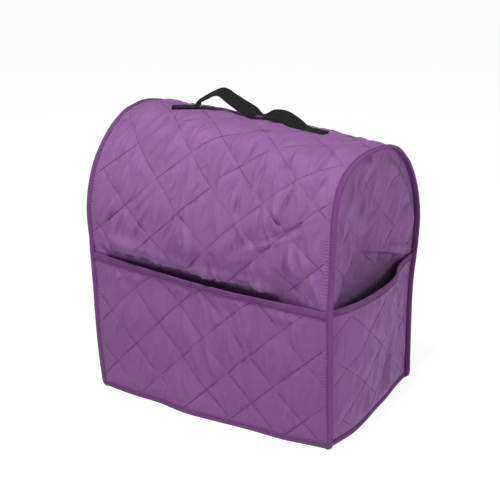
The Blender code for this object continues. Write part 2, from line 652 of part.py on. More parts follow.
def side_pocket_face(y, z):
    """How far out the side pocket's outer face lies, without its quilting."""
    top = from_table(SIDE_POCKET_EDGE, y)
    hem = side_x(1, y, np.zeros_like(y)) + LAYER
    up = np.clip(z / POCKET_TOP, 0, 1) ** SIDE_POCKET_SHAPE
    ends = smooth(loop_distance(1, y, z) / SIDE_POCKET_EASE) * smooth((z - FLAT_HEM) / ROOM_SPAN)
    upwards = FOLDS_AT_TOP + (1 - FOLDS_AT_TOP) * smooth((POCKET_TOP - z) / ROOM_SPAN)
    shape = folds(SIDE_POCKET_FOLDS, y, z) * ends * upwards
    room = SIDE_POCKET_ROOM * smooth((z - ROOM_LOW) / ROOM_SPAN)
    least = side_x(1, y, z) + LAYER + room
    return np.maximum(hem * (1 - up) + top * up + shape, least)


def side_pocket(material):
    front_s = CLOTH_STATIONS[CLOTH_STATIONS < POCKET_TOP + GAP]
    heights = side_limit(front_s, GAP)[:, 1]
    front = np.stack([np.interp(heights, *TAPE_ENDS[1]["front"]), heights], axis=-1)
    back = np.stack([np.interp(heights, *TAPE_ENDS[1]["back"]), heights], axis=-1)
    rows = {}
    for name, row in (("hem", 0), ("strip", 1), ("band", -2), ("top", -1)):
        rows[name] = [(y, heights[row]) for y in SIDE_Y]
    outline = [tuple(point) for point in front] + rows["top"]
    outline += [tuple(point) for point in back[::-1]] + rows["hem"][::-1]

    def inside(y, z):
        start = np.interp(z, heights, front[:, 0]) + FIELD_MARGIN
        end = np.interp(z, heights, back[:, 0]) - FIELD_MARGIN
        return start < y < end

    box = ((-SIDE_BOX, heights[1] + FIELD_MARGIN), (SIDE_BOX, heights[-2] - FIELD_MARGIN))
    field, stitches = stitch_points(SIDE_POCKET_QUILT, box, inside)
    count = len(outline)
    points = outline + rows["strip"] + rows["band"] + field
    back_start = len(front) + len(rows["top"])
    strip = list(range(count, count + len(SIDE_Y)))
    band = list(range(count + len(SIDE_Y), count + 2 * len(SIDE_Y)))
    edges = ring_edges([1, *strip, back_start + len(back) - 2], closed=False)
    edges += ring_edges([len(front) - 2, *band, back_start + 1], closed=False)
    base = count + 2 * len(SIDE_Y)
    edges += [(a + base, b + base) for a, b in stitches]
    triangles = triangulate(points, edges, list(range(count)))
    y, z = np.array(points).T
    edge = flat_edge(-z, -FLAT_HEM) * flat_edge(z, POCKET_TOP - POCKET_BINDING_DEEP)
    edge = edge * smooth((loop_distance(1, y, z) - EDGE_START) / SEAM_SPAN)
    puff = SIDE_POCKET_QUILT.puff(y, z) * edge
    x = side_pocket_face(y, z)
    outer = np.stack([x + PILLOW * puff, y, z], axis=-1)
    inner = np.stack([x - EDGE, y, z], axis=-1)
    return build_sheet("side_pocket", outer, inner, one_way_round(triangles), material)


def side_strip_rings(deep, place_x, walls, level, downward, ends):
    """Rings of folded tape across the right or left side at one level."""
    rings = []
    for place in ["front", *SIDE_Y, "back"]:
        ring = []
        for depth, offset in u_section(deep, *walls):
            z = level - depth if downward else level + depth
            y = place
            if place in ("front", "back"):
                y = np.interp(z, *ends[place])
            ring.append((place_x(np.float64(y), np.float64(min(z, POCKET_TOP)), offset), y, z))
        rings.append(np.array(ring))
    return rings


def side_pocket_binding(material):
    def place_x(y, z, offset):
        return side_pocket_face(y, z) + offset

    deep = POCKET_BINDING_DEEP + TAPE + GAP
    walls = (GAP, -EDGE - GAP)
    level = POCKET_TOP + TAPE + GAP
    rings = side_strip_rings(deep, place_x, walls, level, True, TAPE_ENDS[1])
    return build_binding("side_pocket_binding", rings, material)


def hem_binding_side(name, side, material):
    """Tape under a side hem: on the right it also holds the side pocket's lower edge."""
    outer = GAP + LAYER if side > 0 else GAP

    def place_x(y, z, offset):
        if side > 0 and offset > 0:
            return side_pocket_face(y, z) + offset - LAYER
        return side_x(side, y, z) + offset

    rings = side_strip_rings(HEM_DEEP, place_x, (outer, -EDGE - GAP), 0.0, False, TAPE_ENDS[side])
    for ring in rings:
        ring[:, 0] *= side
    return build_binding(name, rings, material)


def crown_height(x, y, quilted=False):
    """Height of the long panel's face under a point near the crown."""
    s = np.linspace(*CROWN_STRETCH, CROWN_STEPS)
    x = np.full_like(s, x)
    line = wrap(x, s, panel_offsets(x, s)[0] if quilted else 0.0)
    return float(np.interp(y, line[:, 1], line[:, 2]))


def strap(material):
    """Webbing swept along its course, turned about its own length."""
    rows = np.array([row[1:] for row in STRAP_COURSE], float)
    lift = STRAP_THICK / 2 + STRAP_LIFT
    middle = np.array([(x, y, crown_height(x, y) + rise + lift) for x, y, rise, turn in rows])
    knots = np.concatenate([[0.0], np.cumsum(np.linalg.norm(np.diff(middle, axis=0), axis=1))])
    where = np.linspace(0, knots[-1], STRAP_RINGS)
    course = curve_through(knots, middle, where)
    turns = np.radians(curve_through(knots, rows[:, 3:4], where)[:, 0])
    along = np.gradient(course, where, axis=0)
    along /= np.linalg.norm(along, axis=1, keepdims=True)
    rings = []
    short = []
    for centre, forward, turn in zip(course, along, turns):
        level = np.cross([0.0, 0.0, 1.0], forward)
        level /= np.linalg.norm(level)
        upright = np.cross(forward, level)
        across = math.cos(turn) * level + math.sin(turn) * upright
        face = np.cross(forward, across)
        corners = ((-0.5, -0.5), (0.0, -0.5), (0.5, -0.5), (0.5, 0.5), (0.0, 0.5), (-0.5, 0.5))
        ring = [centre + across * w * STRAP_WIDTH + face * t * STRAP_THICK for w, t in corners]
        short.append(max(crown_height(x, y, True) + STRAP_CLEAR - z for x, y, z in ring))
        rings.append(np.array(ring))
    # Where an edge would dip into the quilting, the strap lies on it instead
    reach = np.arange(STRAP_RINGS)
    for index, ring in enumerate(rings):
        near = np.maximum(short, 0.0) * (1 - smooth(np.abs(reach - index) / STRAP_EASE_RINGS))
        ring[:, 2] += near.max()
    points = np.concatenate(rings)
    faces = []
    for start in range(0, 6 * (STRAP_RINGS - 1), 6):
        for k in range(6):
            a, b = start + k, start + (k + 1) % 6
            faces.append((a, b, b + 6))
            faces.append((a, b + 6, a + 6))
    last = 6 * (STRAP_RINGS - 1)
    for a, b, c, d in ((0, 1, 4, 5), (1, 2, 3, 4)):
        faces.append((c, b, a))
        faces.append((d, c, a))
        faces.append((last + a, last + b, last + c))
        faces.append((last + a, last + c, last + d))
    return build_mesh("carry_strap", points, faces, material)


def cloth_material(name, colour, roughness):
    material = bpy.data.materials.new(name)
    material.use_nodes = True
    shader = material.node_tree.nodes["Principled BSDF"]
    shader.inputs["Base Color"].default_value = (*colour, 1.0)
    shader.inputs["Roughness"].default_value = roughness
    shader.inputs["Metallic"].default_value = 0.0
    material.diffuse_color = (*colour, 1.0)
    return material


def main():
    for item in list(bpy.data.objects):
        bpy.data.objects.remove(item, do_unlink=True)
    quilted = cloth_material("quilted_cloth", PURPLE, 0.62)
    tape = cloth_material("twill_tape", DARK_PURPLE, 0.72)
    webbing = cloth_material("black_webbing", BLACK, 0.80)
    main_panel(quilted)
    side_panel("side_panel_right", 1, quilted)
    side_panel("side_panel_left", -1, quilted)
    front_pocket(quilted)
    side_pocket(quilted)
    seam_binding("seam_binding_right", 1, tape)
    seam_binding("seam_binding_left", -1, tape)
    front_pocket_binding(tape)
    side_pocket_binding(tape)
    hem_binding_long("hem_binding_front", False, tape)
    hem_binding_long("hem_binding_back", True, tape)
    hem_binding_side("hem_binding_right", 1, tape)
    hem_binding_side("hem_binding_left", -1, tape)
    strap(webbing)
    for part in bpy.data.objects:
        corners = np.array([vertex.co for vertex in part.data.vertices])
        low, high = corners.min(0) * 1000, corners.max(0) * 1000
        print(part.name, len(part.data.polygons), "triangles", low.round(1), high.round(1))


main()
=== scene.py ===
# %% [markdown]
# # A quilted cover for a stand mixer
# The real cover is sewn from quilted polyester: one long panel goes up the front, over the top and
# down the back, and an arched piece closes each side. Pockets are caught in the seams, folded tape
# binds every raw edge, and a length of black webbing is sewn on top to carry it by.
# The solid frame comes first, and every piece below follows the same flat pattern as its solid.

import math

import bpy
import numpy as np
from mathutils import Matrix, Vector
from mathutils.geometry import delaunay_2d_cdt


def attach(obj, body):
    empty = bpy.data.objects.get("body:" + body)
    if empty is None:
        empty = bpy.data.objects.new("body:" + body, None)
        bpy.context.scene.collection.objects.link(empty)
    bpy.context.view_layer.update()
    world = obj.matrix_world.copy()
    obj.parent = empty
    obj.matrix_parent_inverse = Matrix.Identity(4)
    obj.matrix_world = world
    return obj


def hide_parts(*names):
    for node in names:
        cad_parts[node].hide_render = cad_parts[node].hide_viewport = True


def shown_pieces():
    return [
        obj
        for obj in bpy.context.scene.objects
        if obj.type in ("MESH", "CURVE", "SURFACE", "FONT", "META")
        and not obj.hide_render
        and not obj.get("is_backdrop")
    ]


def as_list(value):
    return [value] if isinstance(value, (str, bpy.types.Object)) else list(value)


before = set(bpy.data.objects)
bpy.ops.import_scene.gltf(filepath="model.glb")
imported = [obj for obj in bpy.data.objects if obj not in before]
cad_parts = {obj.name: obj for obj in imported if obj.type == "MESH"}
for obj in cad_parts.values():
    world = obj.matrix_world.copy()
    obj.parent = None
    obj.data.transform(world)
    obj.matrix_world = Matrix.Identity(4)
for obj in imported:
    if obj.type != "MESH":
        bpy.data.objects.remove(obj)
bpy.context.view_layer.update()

# %% [markdown]
# ## Sizes
# A sewer works from a flat pattern, and so does this script: x runs across the long panel, s runs
# along it from the front hem, and d stands outward from its face. The course of the panel is a table
# of three sections, at the left seam, in the middle and at the right seam. Between them the panel
# bends smoothly, so the uneven stance of the real cover is in one small table.

# %% Driving sizes, in metres
SIDE_X = 0.1778          # outer face of a side panel
SEAM_OUT = 0.1865        # outermost edge of a seam binding
BINDING_DEEP = 0.0078    # how far a seam binding reaches in over the cloth
HEM_DEEP = 0.0085
POCKET_BINDING_DEEP = 0.0095
TAPE = 0.0008            # one wall of the folded tape
EDGE = 0.0007            # quilted cloth pressed flat at its edge
LOFT = 0.0003            # what the cloth gains in thickness where nothing presses it
GAP = 0.0002
LAYER = EDGE + GAP
FLAT_X = 0.1733          # outside this the long panel is pressed flat for its seam
FLAT_HEM = 0.0105
HEM_EASE = 0.040         # over this the panel's face turns from upright at a hem to its own slope
SEAM_SPAN = 0.0140       # over this the quilting rises from a flat edge
PILLOW = 0.0023          # rise of the wadding between the stitch lines
PILLOW_INSIDE = 0.0006
PILLOW_SHAPE = 0.6       # below 1 the wadding rises steeply at a stitch line
PUCKER = 0.0005
POCKET_TOP = 0.1945      # the pockets' top edge, at the right seam for the front one
TOP_RISE = 0.0140        # how much higher the left seam holds the front pocket's top edge
TOP_RISE_SHAPE = 1.6     # above 1 the edge climbs more steeply near the left seam
POCKET_BELLY = 0.0112    # how far the front pocket's top stands off the panel
BELLY_SHAPE = 2.2        # how squarely that belly fills out towards the seams
SWAY = 0.12              # the belly's unevenness across the front, as a share of it
SWAY_LENGTH = 0.060
SWAY_START = 0.6
POCKET_ROOM = 0.0013     # more room behind the front pocket, for the tape on its top edge
SIDE_POCKET_ROOM = 0.0016
ROOM_LOW = 0.150         # that room starts here
ROOM_SPAN = 0.030
DEEPEST_TROUGH = 0.0012  # the front pocket's troughs stop here, before they cut through the cloth
SIDE_DEEPEST = 0.0004    # and the side pocket's here
SIDE_POCKET_SHAPE = 0.9  # how evenly the side pocket opens towards its top
FOLDS_AT_TOP = 0.35      # share of the side pocket's folds that its taped edge still shows
POCKET_STEP = 0.022      # over this a seam's tape comes down from the pocket's edge to the panel
FOLD_START = 0.002       # how far above a pocket's top the folds behind it start
FOLD_EASE = 0.010        # over this they rise
BOW_HEIGHT = 0.130       # the side hems' bow has faded out here
SIDE_EASE = 0.030        # over this the side panels' folds rise from the seam
SIDE_POCKET_EASE = 0.020
FOOT = 0.280             # length of seam that stands upright at the front and at the back
STRAP_WIDTH = 0.0200
STRAP_THICK = 0.0018
CENTRE = np.array([0.0089, -0.0037, 0.0])   # middle of the whole box, which becomes the origin
CLOTH_EDGE = SEAM_OUT - TAPE - GAP
CORNER = 0.0100          # radius of the seam's rounded corner at a hem
CORNER_DEPTH = 0.75      # share of a full quarter round that it takes

COURSE = (
    # station          left              middle            right
    ("front hem",     (-0.1260, 0.0000), (-0.1350, 0.0000), (-0.1220, 0.0000)),
    ("front low",     (-0.1325, 0.0600), (-0.1305, 0.0600), (-0.1270, 0.0600)),
    ("front waist",   (-0.1360, 0.1250), (-0.1240, 0.1250), (-0.1300, 0.1250)),
    ("pocket top",    (-0.1370, 0.1900), (-0.1190, 0.1900), (-0.1330, 0.1900)),
    ("over pocket",   (-0.1385, 0.2140), (-0.1270, 0.2120), (-0.1330, 0.2140)),
    ("front bulge",   (-0.1415, 0.2450), (-0.1410, 0.2400), (-0.1320, 0.2450)),
    ("chest",         (-0.1420, 0.2750), (-0.1420, 0.2750), (-0.1310, 0.2780)),
    ("low shoulder",  (-0.1360, 0.3040), (-0.1360, 0.3050), (-0.1300, 0.3050)),
    ("shoulder",      (-0.1250, 0.3300), (-0.1255, 0.3310), (-0.1260, 0.3290)),
    ("high shoulder", (-0.1080, 0.3530), (-0.1130, 0.3570), (-0.1150, 0.3500)),
    ("slope",         (-0.0850, 0.3740), (-0.0980, 0.3790), (-0.0950, 0.3640)),
    ("high slope",    (-0.0590, 0.3890), (-0.0740, 0.3890), (-0.0710, 0.3720)),
    ("crown front",   (-0.0300, 0.3960), (-0.0380, 0.3915), (-0.0380, 0.3755)),
    ("crown",         (0.0000, 0.3975), (0.0000, 0.3895), (-0.0050, 0.3745)),
    ("crown back",    (0.0310, 0.3920), (0.0320, 0.3845), (0.0260, 0.3710)),
    ("back slope",    (0.0610, 0.3820), (0.0600, 0.3760), (0.0490, 0.3630)),
    ("back high",     (0.0880, 0.3640), (0.0850, 0.3580), (0.0710, 0.3490)),
    ("back shoulder", (0.1090, 0.3390), (0.1060, 0.3360), (0.0900, 0.3330)),
    ("back turn",     (0.1230, 0.3060), (0.1210, 0.3040), (0.1130, 0.3020)),
    ("back upper",    (0.1300, 0.2620), (0.1310, 0.2580), (0.1310, 0.2540)),
    ("back middle",   (0.1310, 0.2150), (0.1360, 0.2120), (0.1300, 0.2120)),
    ("back waist",    (0.1300, 0.1500), (0.1360, 0.1500), (0.1200, 0.1560)),
    ("back low",      (0.1280, 0.0600), (0.1340, 0.0600), (0.1215, 0.0700)),
    ("back hem",      (0.1260, 0.0000), (0.1310, 0.0000), (0.1260, 0.0000)),
)
# Place across, half width and how far the front hem stands out there
HEM_WAVES = (
    (-0.085, 0.030, -0.0030),
    (-0.030, 0.030, 0.0020),
    (0.060, 0.040, -0.0018),
    (0.120, 0.030, 0.0016),
)
print("sections along the panel:", len(COURSE))

# %% [markdown]
# ## Folds
# Cloth that stands by itself sags into soft troughs and ridges. Each row below is one of them: where
# it lies on its face, its half length and half width, how far it is turned, and how high it rises.

# %% Main folds of each face
PANEL_FOLDS = (
    (-0.110, 0.233, 0.055, 0.009, -6, 0.0070),
    (-0.120, 0.210, 0.050, 0.007, -4, -0.0035),
    (-0.015, 0.221, 0.042, 0.010, -6, 0.0085),
    (0.065, 0.214, 0.040, 0.009, -6, 0.0055),
    (-0.100, 0.236, 0.045, 0.013, 8, 0.0030),
    (0.055, 0.262, 0.032, 0.009, 38, -0.0040),
    (0.095, 0.275, 0.040, 0.012, 70, -0.0030),
    (0.020, 0.292, 0.045, 0.008, 75, 0.0022),
    (-0.035, 0.300, 0.050, 0.009, 78, 0.0022),
    (0.130, 0.250, 0.045, 0.014, 25, 0.0030),
    (-0.140, 0.400, 0.030, 0.010, 30, -0.0028),
    (0.015, 0.420, 0.055, 0.012, 85, -0.0020),
    (0.120, 0.430, 0.060, 0.014, 95, -0.0025),
)
# The crisp lip where the panel hangs over the front pocket, the hollow right under it, and pinches
LIP_FOLDS = (
    (-0.095, 0.2190, 0.095, 0.0052, -4.6, 0.0046),
    (-0.095, 0.2108, 0.095, 0.0046, -4.6, -0.0050),
    (0.045, 0.2070, 0.050, 0.0034, -4.0, 0.0030),
    (-0.158, 0.410, 0.030, 0.0036, 60, 0.0030),
    (-0.150, 0.404, 0.028, 0.0032, 60, -0.0030),
    (-0.140, 0.440, 0.026, 0.0030, 40, 0.0018),
    (0.059, 0.282, 0.022, 0.0030, 120, 0.0026),
    (0.050, 0.268, 0.018, 0.0028, 70, -0.0024),
    (0.100, 0.274, 0.034, 0.0032, 22, 0.0026),
    (0.128, 0.296, 0.034, 0.0032, 26, -0.0020),
    (-0.028, 0.345, 0.034, 0.0030, 98, 0.0018),
    (-0.036, 0.302, 0.026, 0.0028, 92, -0.0018),
)
SIDE_LIP_FOLDS = (
    (0.063, 0.2130, 0.075, 0.0032, -17.7, 0.0034),
    (0.063, 0.2060, 0.075, 0.0036, -17.7, -0.0040),
    (0.050, 0.3460, 0.024, 0.0042, -48, -0.0046),
    (0.083, 0.3060, 0.028, 0.0042, -52, -0.0050),
    (0.108, 0.2640, 0.026, 0.0042, -72, -0.0042),
    (-0.010, 0.2900, 0.060, 0.0060, 82, 0.0020),
    (-0.050, 0.2600, 0.055, 0.0050, 80, -0.0018),
)
FRONT_POCKET_FOLDS = (
    (-0.012, 0.075, 0.050, 0.008, 105, 0.0024),
    (-0.045, 0.085, 0.045, 0.008, 100, -0.0016),
    (0.028, 0.060, 0.045, 0.009, 84, -0.0018),
    (0.060, 0.130, 0.040, 0.010, 70, 0.0018),
    (-0.110, 0.120, 0.060, 0.014, 30, 0.0016),
)
RIGHT_SIDE_FOLDS = (
    (-0.025, 0.236, 0.042, 0.024, 25, -0.0150),
    (0.030, 0.215, 0.060, 0.022, -12, -0.0100),
    (0.000, 0.290, 0.070, 0.050, 0, -0.0060),
    (-0.075, 0.215, 0.040, 0.012, 62, -0.0080),
    (-0.085, 0.270, 0.060, 0.020, 85, 0.0025),
    (0.060, 0.290, 0.060, 0.012, -50, 0.0030),
    (0.060, 0.2200, 0.046, 0.008, -17, 0.0070),
    (0.060, 0.2050, 0.044, 0.009, -17, -0.0060),
    (0.046, 0.3380, 0.028, 0.009, -33, 0.0070),
    (0.078, 0.3060, 0.030, 0.009, -53, 0.0085),
    (0.103, 0.2620, 0.032, 0.009, -73, 0.0085),
)
LEFT_SIDE_FOLDS = (
    (-0.020, 0.220, 0.070, 0.045, 0, -0.0060),
    (0.050, 0.120, 0.060, 0.040, 0, 0.0040),
    (-0.060, 0.080, 0.070, 0.020, 80, -0.0030),
)
SIDE_POCKET_FOLDS = (
    (0.090, 0.095, 0.090, 0.009, 98, 0.0045),
    (0.108, 0.090, 0.090, 0.008, 97, -0.0030),
    (0.024, 0.050, 0.050, 0.011, 75, -0.0070),
    (0.044, 0.050, 0.055, 0.010, 74, 0.0035),
    (-0.060, 0.100, 0.060, 0.018, 100, 0.0020),
)
# Place along a side in y, and how far out the cloth stands there
SIDE_HEM_BOW = ((-0.124, 0.0), (-0.100, 0.0042), (-0.072, 0.0092), (-0.035, 0.0097),
                (0.005, 0.0072), (0.050, 0.0052), (0.090, 0.0014), (0.127, 0.0))
SIDE_POCKET_EDGE = ((-0.132, 0.1800), (-0.122, 0.1825), (-0.105, 0.1905), (-0.080, 0.1975),
                    (-0.046, 0.2015), (-0.012, 0.2030), (0.0145, 0.2010), (0.035, 0.1970),
                    (0.052, 0.1900), (0.070, 0.1850), (0.090, 0.1820), (0.107, 0.1808),
                    (0.130, 0.1800))
# Where the strap's sewn ends press the quilting flat: x, y and half length
TABS = ((-0.109, -0.017, 0.030), (0.088, 0.000, 0.032))
TAB_HALF_WIDTH = 0.019
TAB_REACH = 1.6
TAB_SPAN = 0.5
TAB_STRETCH = (0.40, 0.62)   # the part of the panel's length where they are
fold_tables = (PANEL_FOLDS, LIP_FOLDS, SIDE_LIP_FOLDS, FRONT_POCKET_FOLDS, RIGHT_SIDE_FOLDS,
               LEFT_SIDE_FOLDS, SIDE_POCKET_FOLDS)
print("folds by hand:", sum(len(table) for table in fold_tables))

# %% [markdown]
# ## The course of the long panel
# A smooth curve goes through each section, and a parabola across the three sections gives every
# point between the seams. The last few millimetres at each seam are pressed straight, because there
# the layers are sewn into one flat ridge.

# %% From the flat pattern to the standing cloth
def smooth(t):
    t = np.clip(t, 0.0, 1.0)
    return t * t * (3.0 - 2.0 * t)


def curve_through(knots, points, t):
    """A smooth curve through points at their knots, read at t."""
    points = np.asarray(points, float)
    slopes = np.gradient(points, knots, axis=0)
    t = np.clip(t, knots[0], knots[-1])
    i = np.clip(np.searchsorted(knots, t, side="right") - 1, 0, len(knots) - 2)
    span = knots[i + 1] - knots[i]
    f = (t - knots[i]) / span
    shape = f.shape + (1,) * (points.ndim - 1)
    f, span = f.reshape(shape), span.reshape(shape)
    start = (2 * f**3 - 3 * f**2 + 1) * points[i] + (f**3 - 2 * f**2 + f) * span * slopes[i]
    end = (3 * f**2 - 2 * f**3) * points[i + 1] + (f**3 - f**2) * span * slopes[i + 1]
    return start + end


SECTIONS = np.array([row[1:] for row in COURSE])
COURSE_S = np.concatenate([[0.0], np.cumsum(np.linalg.norm(np.diff(SECTIONS[:, 1], axis=0), axis=1))])
LENGTH = float(COURSE_S[-1])
WAVE_HEIGHT = 0.09       # the hem's waves have faded out here
WAVE_X = 0.12            # and from here towards the seams
WAVE_SPAN = 0.045
NORMAL_STEP = 0.0005


def course_point(x, s):
    """(y, z) of the long panel's smooth course."""
    left, middle, right = np.moveaxis(curve_through(COURSE_S, SECTIONS, s), -2, 0)
    across = (np.clip(x, -FLAT_X, FLAT_X) / FLAT_X)[..., None]
    point = 0.5 * across * (across - 1) * left + (1 - across**2) * middle
    point = point + 0.5 * across * (across + 1) * right
    for place, half_width, out in HEM_WAVES:
        wave = out * np.exp(-((x - place) / half_width) ** 2) * (1 - smooth(s / WAVE_HEIGHT))
        point[..., 0] -= wave * (1 - smooth((np.abs(x) - WAVE_X) / WAVE_SPAN))
    return point


def wrap(x, s, d):
    """The standing point at x, s and d."""
    x, s, d = np.broadcast_arrays(*(np.asarray(value, float) for value in (x, s, d)))
    point = course_point(x, s)
    ahead, behind = np.minimum(s + NORMAL_STEP, LENGTH), np.maximum(s - NORMAL_STEP, 0)
    along = course_point(x, ahead) - course_point(x, behind)
    outward = np.stack([-along[..., 1], along[..., 0]], axis=-1)
    outward[..., 1] *= smooth((np.minimum(s, LENGTH - s) - FLAT_HEM) / HEM_EASE)
    outward /= np.linalg.norm(outward, axis=-1, keepdims=True)
    point = point + outward * d[..., None]
    from_hem = np.clip(np.minimum(s, LENGTH - s) / CORNER, 0, 1)
    drawn_in = 1 - CORNER_DEPTH * (1 - np.sqrt(1 - (1 - from_hem) ** 2))
    past_seam = np.maximum(np.abs(x) - SIDE_X, 0)
    x = np.sign(x) * (np.minimum(np.abs(x), SIDE_X) + past_seam * drawn_in)
    return np.stack([x, point[..., 0], point[..., 1]], axis=-1)


def folds(table, u, v):
    """Rise of a face at u and v from a table of folds."""
    rise = np.zeros_like(u)
    for place_u, place_v, half_length, half_width, turn, height in table:
        cos, sin = math.cos(math.radians(turn)), math.sin(math.radians(turn))
        along = (u - place_u) * cos + (v - place_v) * sin
        across = (v - place_v) * cos - (u - place_u) * sin
        near = (np.abs(along) < 3 * half_length) & (np.abs(across) < 3 * half_width)
        bump = np.exp(-((along[near] / half_length) ** 2) - (across[near] / half_width) ** 2)
        rise[near] += height * bump
    return rise


print("pattern length of the long panel, mm:", round(LENGTH * 1000))

# %% [markdown]
# ## Quilting
# Two families of straight stitch lines cross into diamonds. Between the lines the wadding lifts the
# cloth, and because the cloth shrinks a little when it is quilted, every diamond also gets its own
# creases, mostly running up the cover, and tight puckers where it meets the thread. The creases are
# placed diamond by diamond from a fixed seed, with a lean for each face, so they never repeat.

# %% Stitch lines, puffs, creases and puckers
LINES = 30               # stitch lines counted each way from the crossing
CELLS = 26               # diamonds that any face reaches, each way
PUCKER_PITCH = 0.0105
PUCKER_START = 0.0020    # a pucker is tallest about here, and fades over PUCKER_REACH
PUCKER_REACH = 0.0060
WHOLE_TURN = 6.283
STRIDE = 0.72            # distance between stitch lines, as a share of the pitch
PUFF_SHARE = 1.8         # short creases reach their height at this part of the puff
# Spread in u, in v and in degrees; height, half length and half width, each with what chance may
# add; the chance below which a crease sinks, and how deep it then is for its height
LONG_CREASE = (0.060, 0.050, 22, (0.0010, 0.0012), (0.022, 0.020), (0.0048, 0.0030), 0.40, -1)
SHORT_CREASE = (0.050, 0.038, 34, (0.0008, 0.0014), (0.010, 0.018), (0.0017, 0.0022), 0.45, -0.8)


def crease_row(kind, place, lean, chances, strength):
    """One row of a table of folds, from six chances."""
    spread_u, spread_v, spread_turn, height, length, width, sinks_below, sunk = kind
    a, b, c, d, e, f = chances
    rise = (height[0] + height[1] * d) * (1 if f > sinks_below else sunk) * strength
    return (place[0] + (a - 0.5) * spread_u, place[1] + (b - 0.5) * spread_v, length[0] + length[1] * e,
            width[0] + width[1] * d, lean(*place) + (c - 0.5) * spread_turn, rise)


class Quilting:
    """Two families of stitch lines: number, place and slope, with the nudges that the photo shows."""

    def __init__(self, crossing, slope, pitch, rising_nudges=(), falling_nudges=()):
        u, v = crossing
        self.slope = slope
        self.pitch = pitch
        self.lines = np.arange(-LINES, LINES + 1)
        self.rising_at = v - slope * u + pitch * self.lines.astype(float)
        self.falling_at = v + slope * u + pitch * self.lines.astype(float)
        for places, nudges in ((self.rising_at, rising_nudges), (self.falling_at, falling_nudges)):
            for line, shift in nudges:
                places[self.lines == line] += shift

    def spot(self, p, q):
        """The place on the face of a place on the lattice."""
        rising = np.interp(p, self.lines, self.rising_at)
        falling = np.interp(q, self.lines, self.falling_at)
        u = (falling - rising) / (2 * self.slope)
        return u, self.slope * u + rising

    def lattice(self, u, v):
        p = np.interp(v - self.slope * u, self.rising_at, self.lines)
        q = np.interp(v + self.slope * u, self.falling_at, self.lines)
        return p, q

    def puff(self, u, v):
        p, q = self.lattice(u, v)
        return (np.abs(np.sin(math.pi * p)) * np.abs(np.sin(math.pi * q))) ** PILLOW_SHAPE

    def puckers(self, u, v):
        """Tight ripples that run into the thread from both sides."""
        p, q = self.lattice(u, v)
        stride = self.pitch * STRIDE
        rise = np.zeros_like(u)
        for across, along in ((p, q), (q, p)):
            line = np.round(across)
            away = np.abs(across - line) * stride
            phase = WHOLE_TURN * along * stride / PUCKER_PITCH + 2.1 * np.sin(5.3 * along + 3.7 * line) + line
            near = (1 - np.exp(-((away / PUCKER_START) ** 2))) * np.exp(-away / PUCKER_REACH)
            rise += np.sin(phase) * near * (0.65 + 0.35 * np.sin(2.9 * along + line))
        return rise

    def creases(self, u, v, lean, count, seed, strength=1.0):
        """Soft creases from a fixed seed: short ones inside each diamond, and long ones across them."""
        chance = np.random.default_rng(seed)
        short_rows, long_rows = [], []
        for p in range(-CELLS, CELLS):
            for q in range(-CELLS, CELLS):
                middle = self.spot(p + 0.5, q + 0.5)
                draw = chance.random((count + 2, 6))
                if not (u.min() < middle[0] < u.max() and v.min() < middle[1] < v.max()):
                    continue
                long_rows += [crease_row(LONG_CREASE, middle, lean, row, strength) for row in draw[:2]]
                short_rows += [crease_row(SHORT_CREASE, middle, lean, row, strength) for row in draw[2:]]
        short = folds(short_rows, u, v) * np.minimum(self.puff(u, v) * PUFF_SHARE, 1.0)
        return short + folds(long_rows, u, v)


# A crossing, the slope and the pitch, and nudges of single lines where the photo shows them clearly
PANEL_QUILT = Quilting((-0.035, 0.287), 0.93, 0.0775,
                       rising_nudges=((-3, 0.010), (-2, 0.014), (-1, 0.0035), (0, 0.008), (1, 0.008),
                                      (2, 0.016), (3, 0.012), (4, 0.006)),
                       falling_nudges=((-1, 0.004), (0, 0.007), (1, 0.009), (2, -0.005), (3, -0.007)))
POCKET_QUILT = Quilting((0.0012, 0.0437), 0.97, 0.0755, rising_nudges=((-1, 0.006),),
                        falling_nudges=((-2, 0.006), (1, -0.011), (2, -0.023), (3, -0.009)))
SIDE_QUILT = Quilting((-0.0268, 0.2515), 0.85, 0.0780)
SIDE_POCKET_QUILT = Quilting((-0.0026, 0.1055), 0.80, 0.0740)
diamond = PANEL_QUILT.pitch**2 / (2 * PANEL_QUILT.slope)
print("diamonds on the long panel:", round(2 * FLAT_X * LENGTH / diamond))

# %% [markdown]
# ## Camera, light and floor
# The camera stands to the right of the front and a little above, with a long lens, as in the
# photograph. A product photo like this one is lit by large soft boxes, so wide area lights and a
# bright world do the work, and the floor is plain white.

# %% Camera at the photograph's angle
AZIMUTH, ELEVATION, DISTANCE = 31.4, 19.3, 1.49
LENS, SENSOR = 76.1, 36.0
AIM_X, AIM_Z = -0.013, 0.2008
WHITE = (1.0, 1.0, 1.0, 1.0)


def add_object(name, data):
    made = bpy.data.objects.new(name, data)
    bpy.context.scene.collection.objects.link(made)
    return made


def stand_and_look(thing, place, direction):
    thing.location = place
    thing.rotation_mode = "QUATERNION"
    thing.rotation_quaternion = direction.to_track_quat("-Z", "Y")


camera = add_object("camera", bpy.data.cameras.new("camera"))
camera.data.lens = LENS
camera.data.sensor_width = SENSOR
turn, rise = math.radians(AZIMUTH), math.radians(ELEVATION)
back = Vector((math.sin(turn) * math.cos(rise), -math.cos(turn) * math.cos(rise), math.sin(rise)))
stand_and_look(camera, Vector((AIM_X - CENTRE[0], -CENTRE[1], AIM_Z)) + back * DISTANCE, -back)
bpy.context.scene.camera = camera
print("camera", [round(value, 3) for value in camera.location])

# %% Soft boxes, world and floor
LAMP_AIM = Vector((0, 0, 0.2))
